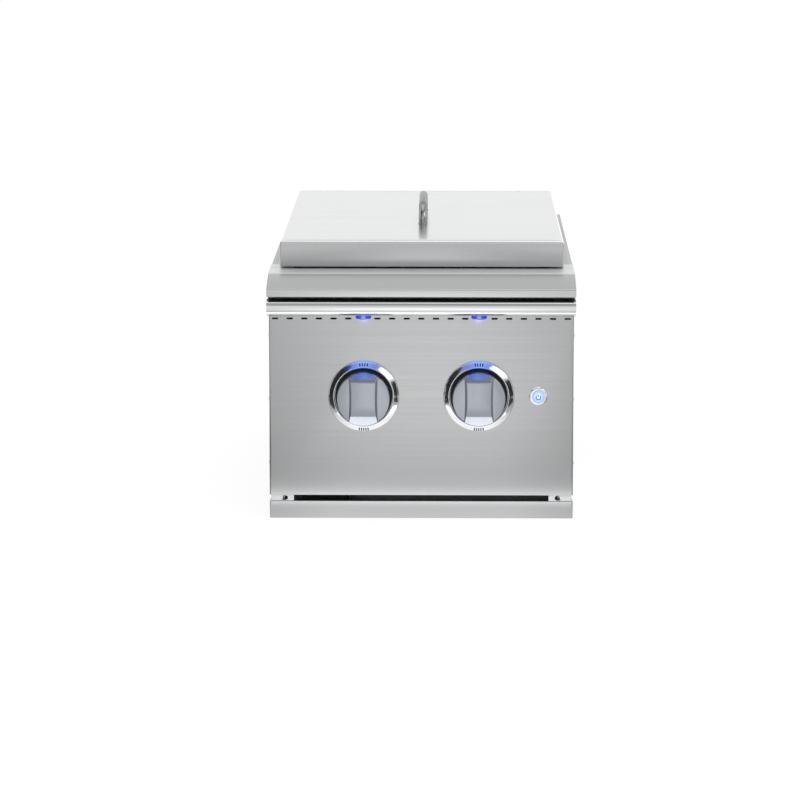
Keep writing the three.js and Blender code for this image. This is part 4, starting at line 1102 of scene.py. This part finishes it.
for side, (low, high) in knob_boxes.items():
    centre = knob_centres[side]
    radius = (high.x - low.x) / 2
    reach = panel_face - low.y
    back = panel_face - high.y
    seat = on_panel(centre)
    skirt = turned([
        (across, -depth) for across, depth in rounded_path([
            (0, back, 0), (knob_hub, back, 0.4 * MM), (knob_hub, cheek_depth - knob_wall, 1 * MM),
            (radius - knob_wall, cheek_depth - knob_wall, 1 * MM), (radius - knob_wall, back, 0.4 * MM),
            (radius, back, 0.5 * MM), (radius, cheek_depth, 0.8 * MM), (0, cheek_depth, 0),
        ], 4)
    ], seat, "Y", 128)
    round_limit = round_bar(radius - 0.02 * MM, -15 * MM, -40 * MM, seat, "Y", 128)
    bar = carved(grip(centre, radius, reach), round_limit, how="INTERSECT")
    bore = round_bar(shaft_radius, -back + 2 * MM, -shaft_depth, seat, "Y", 32)
    slope_start, slope_end = centre.z + 21.9 * MM, centre.z + radius + 1 * MM
    slope_face = panel_face - reach + 0.8 * MM
    slope_half = waist_half + waist_draw
    wedge = extruded([
        (slope_face, slope_start), (slope_face + top_slope * (slope_end - slope_start), slope_end),
        (panel_face - 40 * MM, slope_end), (panel_face - 40 * MM, slope_start),
    ], "X", centre.x - slope_half, centre.x + slope_half)
    casting = carved(carved(carved(skirt, bar, how="UNION"), bore), wedge)
    place(f"{side}_knob_casting", casting, satin, f"{side}_knob", crease=25)


# Lamp switch: a chrome ring with a barrel through the panel and a nut behind, and in it a
# push button of pale lit plastic with a plain round power mark.

switch_axis = on_panel(switch_centre)
switch_outer = (switch_high.x - switch_low.x) / 2
switch_proud = panel_face - switch_low.y
switch_end = switch_high.y - panel_face
switch_barrel = 7.8 * MM
switch_well, well_floor = 6.9 * MM, 5.5 * MM
switch_profile = rounded_path([
    (switch_well, -switch_proud, 0.3 * MM), (switch_outer - 1.5 * MM, -switch_proud, 1.2 * MM),
    (switch_outer, -0.9 * MM, 0.6 * MM), (switch_outer, 0, 0), (switch_barrel, 0, 0),
    (switch_barrel, switch_end, 0), (0, switch_end, 0),
    (0, well_floor, 0), (switch_well, well_floor, 0), (switch_well, -switch_proud + 0.4 * MM, 0),
], 5)
place("switch_ring", turned(switch_profile, switch_axis), chrome, "switch_body")
dressed("switch_hexagon", "switch_nut", chrome, 0.5 * MM)


def lit_plastic(name, core, rim, centre, reach, brightness):
    """Lit plastic, from a pale middle to a deeper edge."""
    material, tree = new_material(
        name, Metallic=0.0, Roughness=0.25, Coat_Weight=0.3, Emission_Strength=brightness
    )
    edge = grouped(tree, lit_group, Centre=centre, Reach=reach)["Edge"]
    colour = between(tree, edge, core, rim)
    for socket in ("Emission Color", "Base Color"):
        tree.links.new(colour, shader_of(tree)[socket])
    return material


button_low, button_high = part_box("light_button")
button_centre = middle_of("light_button")
button_radius = (button_high.x - button_low.x) / 2
button_glow = lit_plastic(
    "lit_button", (0.74, 0.85, 1.0), (0.26, 0.40, 0.88),
    (button_centre.x, 0.0, button_centre.z), (button_radius, far_reach, button_radius),
    brightness=0.68,
)
button_front = button_low.y - panel_face
button_back = button_high.y - panel_face
button_shape = rounded_path([
    (0, button_front, 0), (button_radius - 2 * MM, button_front + 0.1 * MM, 3 * MM),
    (button_radius, button_front + 0.9 * MM, 0.5 * MM), (button_radius, button_back, 0.3 * MM),
    (0, button_back, 0),
])
place("button_cap", turned(button_shape, switch_axis, "Y", 64), button_glow, "light_button")

mark_blue = clouded(
    "blue_mark", (0.02, 0.05, 0.28), (0.04, 0.09, 0.42), (0.5, 0.35), scale=900.0, contrast=1.0,
    Metallic=0.0,
)
mark_ring, mark_stroke = 2.5 * MM, 0.42 * MM
mark_x, mark_level = switch_centre.x, switch_centre.z - 0.8 * MM
arc_points = [
    (mark_x + mark_ring * math.sin(angle), button_low.y, mark_level + mark_ring * math.cos(angle))
    for angle in (math.radians(degrees) for degrees in range(40, 321, 10))
]
bar_points = [(mark_x, button_low.y, mark_level + level * MM) for level in (0.6, 1.7, 2.8)]
power_mark = merged(*(swept(points, mark_stroke, 8) for points in (arc_points, bar_points)))
place("button_mark", power_mark, mark_blue, rides="button")


# Nose: a polished sheet rolled to a half round over the panel, with welded end plates. Two lamp
# lenses come through its underside, and a black lamp bar behind carries them.

nose_radius = 9 * MM
nose_axis = Vector((nose_low.y + nose_radius, nose_bottom + nose_radius))
nose_back = panel_face + 20 * MM
nose_foot = panel_face - 0.3 * MM
half_round = [
    Vector((nose_axis.x + nose_radius * math.cos(a), nose_axis.y + nose_radius * math.sin(a)))
    for a in (math.radians(90 + 180 * step / 32) for step in range(33))
]
nose_path = [Vector((nose_back, nose_high.z)), *half_round, Vector((nose_foot, nose_low.z))]
nose_outline = folded(nose_path)
nose_skin = extruded(nose_outline, "X", nose_low.x, nose_high.x)
end_outline = [
    *(point for point in nose_outline[len(nose_path):] if point.x < nose_foot),
    Vector((nose_foot, nose_high.z - sheet)),
]


def lens_loop(low, high, inset, level):
    size = high - low
    outline = slot_outline((low + high) / 2, size.x - 2 * inset, size.y - 2 * inset, 12)
    return [(*point, level) for point in outline]


def end_pair(outline, near, far):
    """Two bodies with one outline, as far left of the middle as right of it."""
    return [extruded(outline, "X", *sorted((sign * near, sign * far))) for sign in (-1, 1)]


plate_inset = 0.4 * MM
lens_gap = 0.3 * MM
lens_boxes = {side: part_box(f"{side}_lamp_lens") for side in ("left", "right")}
hole_levels = (nose_low.z - 5 * MM, nose_bottom + nose_radius)
lamp_holes = merged(*(
    lofted([lens_loop(low, high, -lens_gap, level) for level in hole_levels])
    for low, high in lens_boxes.values()
))
end_plates = end_pair(end_outline, nose_high.x - plate_inset, nose_high.x - sheet)
bright_roll = steel("nose_steel", cool_grey(0.80), cool_grey(0.85), (0.15, 0.10), ALONG_X, relief=0.05)
place("nose_skin", merged(carved(nose_skin, lamp_holes), *end_plates), bright_roll, "front_nose", crease=25)
dressed("lamp_housing", "lamp_bar", plastic, 0.6 * MM)

lamp_middle = middle_of("right_lamp_lens")
lens_glow = lit_plastic(
    "lit_lens", (0.75, 0.9, 1.0), (0.008, 0.035, 0.42), (lamp_middle.x, -lamp_middle.y, 0.0),
    (5.5 * MM, 5 * MM, far_reach), brightness=1.0,
)
lens_edge = ((0, 1.4), (0.3, 0.7), (0.9, 0.2), (1.7, 0))
for side, (low, high) in lens_boxes.items():
    edge = ((0, high.z - low.z), *((inset * MM, rise * MM) for inset, rise in lens_edge))
    lens = lofted([lens_loop(low, high, inset, low.z + rise) for inset, rise in edge])
    place(f"{side}_lens", lens, lens_glow, f"{side}_lamp_lens", crease=45)
    middle = (low + high) / 2
    soft_box(f"{side}_blue_lamp", (middle.x, middle.y, low.z - 0.4 * MM),
             (middle.x, middle.y + 8 * MM, 0), 26 * MM, 5 * MM, 1.9, (0.06, 0.18, 1.0))
    soft_box(f"{side}_blue_glint", (middle.x, panel_face - 31 * MM, low.z - 7 * MM),
             (middle.x, panel_face, low.z - 2 * MM), 5 * MM, 4 * MM, 1.6, (0.42, 0.62, 1.0))


# Top trim: one brushed sheet from the lip over the slope to the ledge, with welded ends and
# two ears that lap over the rim rails. A thin black strip under its lip is painted shade in the groove.

trim_low, trim_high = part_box("front_trim")
ledge = trim_high.z
lip_level = ledge - 20 * MM
lip_front = trim_low.y
slope_back = panel_face + 20 * MM
tub_front = panel_face + 64 * MM
groove_back = lip_front + 32 * MM
trim_path = rounded_path([
    (tub_front, ledge - 21.5 * MM, 0), (tub_front, ledge, 1.9 * MM),
    (slope_back, ledge, 2 * MM), (lip_front, ledge - 11.4 * MM, 1.6 * MM),
    (lip_front, lip_level, 1.2 * MM),
    (groove_back, lip_level, 1 * MM), (groove_back, nose_high.z, 0),
])
trim_outline = folded(trim_path)
trim_skin = extruded(trim_outline, "X", trim_low.x, trim_high.x)
inside_face = [
    point for point in reversed(trim_outline[len(trim_path):])
    if point.x < slope_back + 1 * MM and point.y > lip_level + 1 * MM
]
trim_ends = end_pair(
    [*inside_face, Vector((slope_back, lip_level + sheet))],
    trim_high.x - plate_inset, trim_high.x - sheet,
)
wall_gap = 148.2 * MM
ear_inner, ear_reach = 140 * MM, 30 * MM
ear = rectangle(tub_front - 0.5 * MM, ledge - sheet, tub_front + ear_reach, ledge)
ears = end_pair(ear, ear_inner, trim_high.x)
leg_cut = rectangle(tub_front - 1.8 * MM, ledge - 30 * MM, tub_front + 1 * MM, ledge - sheet)
beside_leg = end_pair(leg_cut, wall_gap, trim_high.x + 5 * MM)
trim_body = carved(carved(trim_skin, merged(*beside_leg)), merged(*ears), how="UNION")
# Painted shade: a thin black strip lines the underside of the lip
shade_strip_front, shade_strip_back = lip_front + 1.2 * MM, groove_back - 2 * MM
lip_seal = extruded(
    rectangle(shade_strip_front, lip_level - 0.4 * MM, shade_strip_back, lip_level),
    "X", trim_low.x + 2 * MM, trim_high.x - 2 * MM,
)
place("lip_seal", lip_seal, plastic, rides="housing")

# Painted highlights: the trim's sheet is coloured lighter at the lip and on the ledge than along the slope,
# and the ledge is also rougher
trim_steel = brushed("trim_steel")
trim_tree = trim_steel.node_tree
trim_level = parted(trim_tree, "Object")["Z"]
ledge_painted_highlight = mapped(trim_tree, trim_level, ledge - 1.2 * MM, ledge - 0.4 * MM, 0.0, 1.0)
lip_painted_highlight = mapped(trim_tree, trim_level, ledge - 12 * MM, ledge - 11 * MM, 1.0, 0.0)
recoloured(trim_steel, lip_painted_highlight, cool_grey(0.62))
recoloured(trim_steel, ledge_painted_highlight, cool_grey(0.80))
trim_sheen = shader_of(trim_tree)["Roughness"]
dull_ledge = blended(trim_tree, ledge_painted_highlight, trim_sheen.links[0].from_socket, 0.5)
trim_tree.links.new(dull_ledge, trim_sheen)
place("trim_sheet", merged(trim_body, *trim_ends), trim_steel, "front_trim", crease=25)


# Lid: a pressed tray upside down, brushed, with a flange turned in at its mouth. It sits on
# four rubber bumpers and is lifted off by a polished bar handle.

lid_low, lid_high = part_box("lid_shell")
lid_top = lid_high.z
lid_corner, lid_bend = 1.6 * MM, 3 * MM
lid_flange, top_reach = 8 * MM, 20 * MM
lid_inside = rounded_path([
    (top_reach, lid_top - sheet, 0), (sheet, lid_top - sheet, lid_bend - sheet),
    (sheet, lid_low.z + sheet, 0.5 * MM), (lid_flange, lid_low.z + sheet, 0),
])
lid_outside = rounded_path([
    (lid_flange, lid_low.z, 0), (0, lid_low.z, 1 * MM), (0, lid_top, lid_bend), (top_reach, lid_top, 0),
])
screw_hole = 2.8 * MM
screw_places = [Vector((0, middle_of(f"{end}_handle_screw").y, 0)) for end in ("front", "rear")]
screw_holes = merged(*(
    round_bar(screw_hole, lid_top - 5 * MM, lid_top + 5 * MM, spot, "Z", 24) for spot in screw_places
))
lid_press = lofted(nested(lid_low, lid_high, lid_corner, [*lid_inside, *lid_outside]))
lid_steel = brushed("lid_steel")
lid_tree = lid_steel.node_tree
# Painted highlight: a lighter band of colour along the top bend of the lid
lid_level = parted(lid_tree, "Object")["Z"]
bend_highlight_from = mapped(lid_tree, lid_level, lid_top - lid_bend, lid_top - 0.7 * lid_bend, 0.0, 1.0)
bend_highlight_until = mapped(lid_tree, lid_level, lid_top - 0.15 * lid_bend, lid_top - 0.05 * lid_bend, 1.0, 0.0)
recoloured(lid_steel, calculated(lid_tree, "MINIMUM", bend_highlight_from, bend_highlight_until), cool_grey(0.86))
place("lid_pressing", carved(lid_press, screw_holes), lid_steel, "lid_shell", crease=25)

handle_low, handle_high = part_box("lid_handle")
handle_foot = handle_low.z
handle_radius, handle_bend = 4.6 * MM, 14 * MM
foot_radius, foot_height = 5.2 * MM, 1 * MM
handle_top = handle_high.z - handle_radius
front_screw, rear_screw = (spot.y for spot in screw_places)
side_view = rounded_path([
    (front_screw, handle_foot + 0.8 * MM, 0), (front_screw, handle_top, handle_bend),
    (rear_screw, handle_top, handle_bend), (rear_screw, handle_foot + 0.8 * MM, 0),
], 14)
bar = swept([(0, along, level) for along, level in side_view], handle_radius, 32)
foot_shape = rounded_path([
    (0, handle_foot, 0), (foot_radius, handle_foot, 0.3 * MM),
    (foot_radius, handle_foot + foot_height, 0.5 * MM), (0, handle_foot + foot_height, 0),
], 4)
feet = merged(*(turned(foot_shape, spot, "Z", 48) for spot in screw_places))
threads = merged(*(
    round_bar(screw_hole, handle_foot - 2 * MM, handle_foot + 7.3 * MM, spot, "Z", 24)
    for spot in screw_places
))
# Painted shade: the polished handle's steel is darker in colour and in edge tint than polished steel
shaded_bar_steel = steel("handle_steel", cool_grey(0.34), cool_grey(0.40), (0.2, 0.14), ALONG_Y, relief=0.1)
shader_of(shaded_bar_steel.node_tree)["Specular Tint"].default_value = (0.42, 0.42, 0.42, 1)
place("handle_bar", carved(carved(bar, feet, how="UNION"), threads), shaded_bar_steel, "lid_handle", crease=35)
for end in ("front", "rear"):
    dressed(f"{end}_hexagon_screw", f"{end}_handle_screw", mill_steel_y, 0.4 * MM, crease=40)

rubber = speckled(
    "silicone_rubber", (0.035, 0.035, 0.038), (0.065, 0.065, 0.07), (0.7, 0.85),
    scale=900.0, roughness=0.5, relief=0.3,
)
for corner in ("front_left", "front_right", "rear_left", "rear_right"):
    low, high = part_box(f"{corner}_bumper")
    middle = middle_of(f"{corner}_bumper")
    radius = (high.y - low.y) / 2
    shape = rounded_path([
        (0, low.z, 0), (radius, low.z, 1.2 * MM), (radius, high.z, 0.3 * MM), (0, high.z, 0),
    ])
    foot = turned(shape, (middle.x, middle.y, 0), "Z", 32)
    place(f"{corner}_foot", foot, rubber, f"{corner}_bumper")


# The box round all shown objects, the set left out. The dressed one has to stay inside the
# other.

low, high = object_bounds()
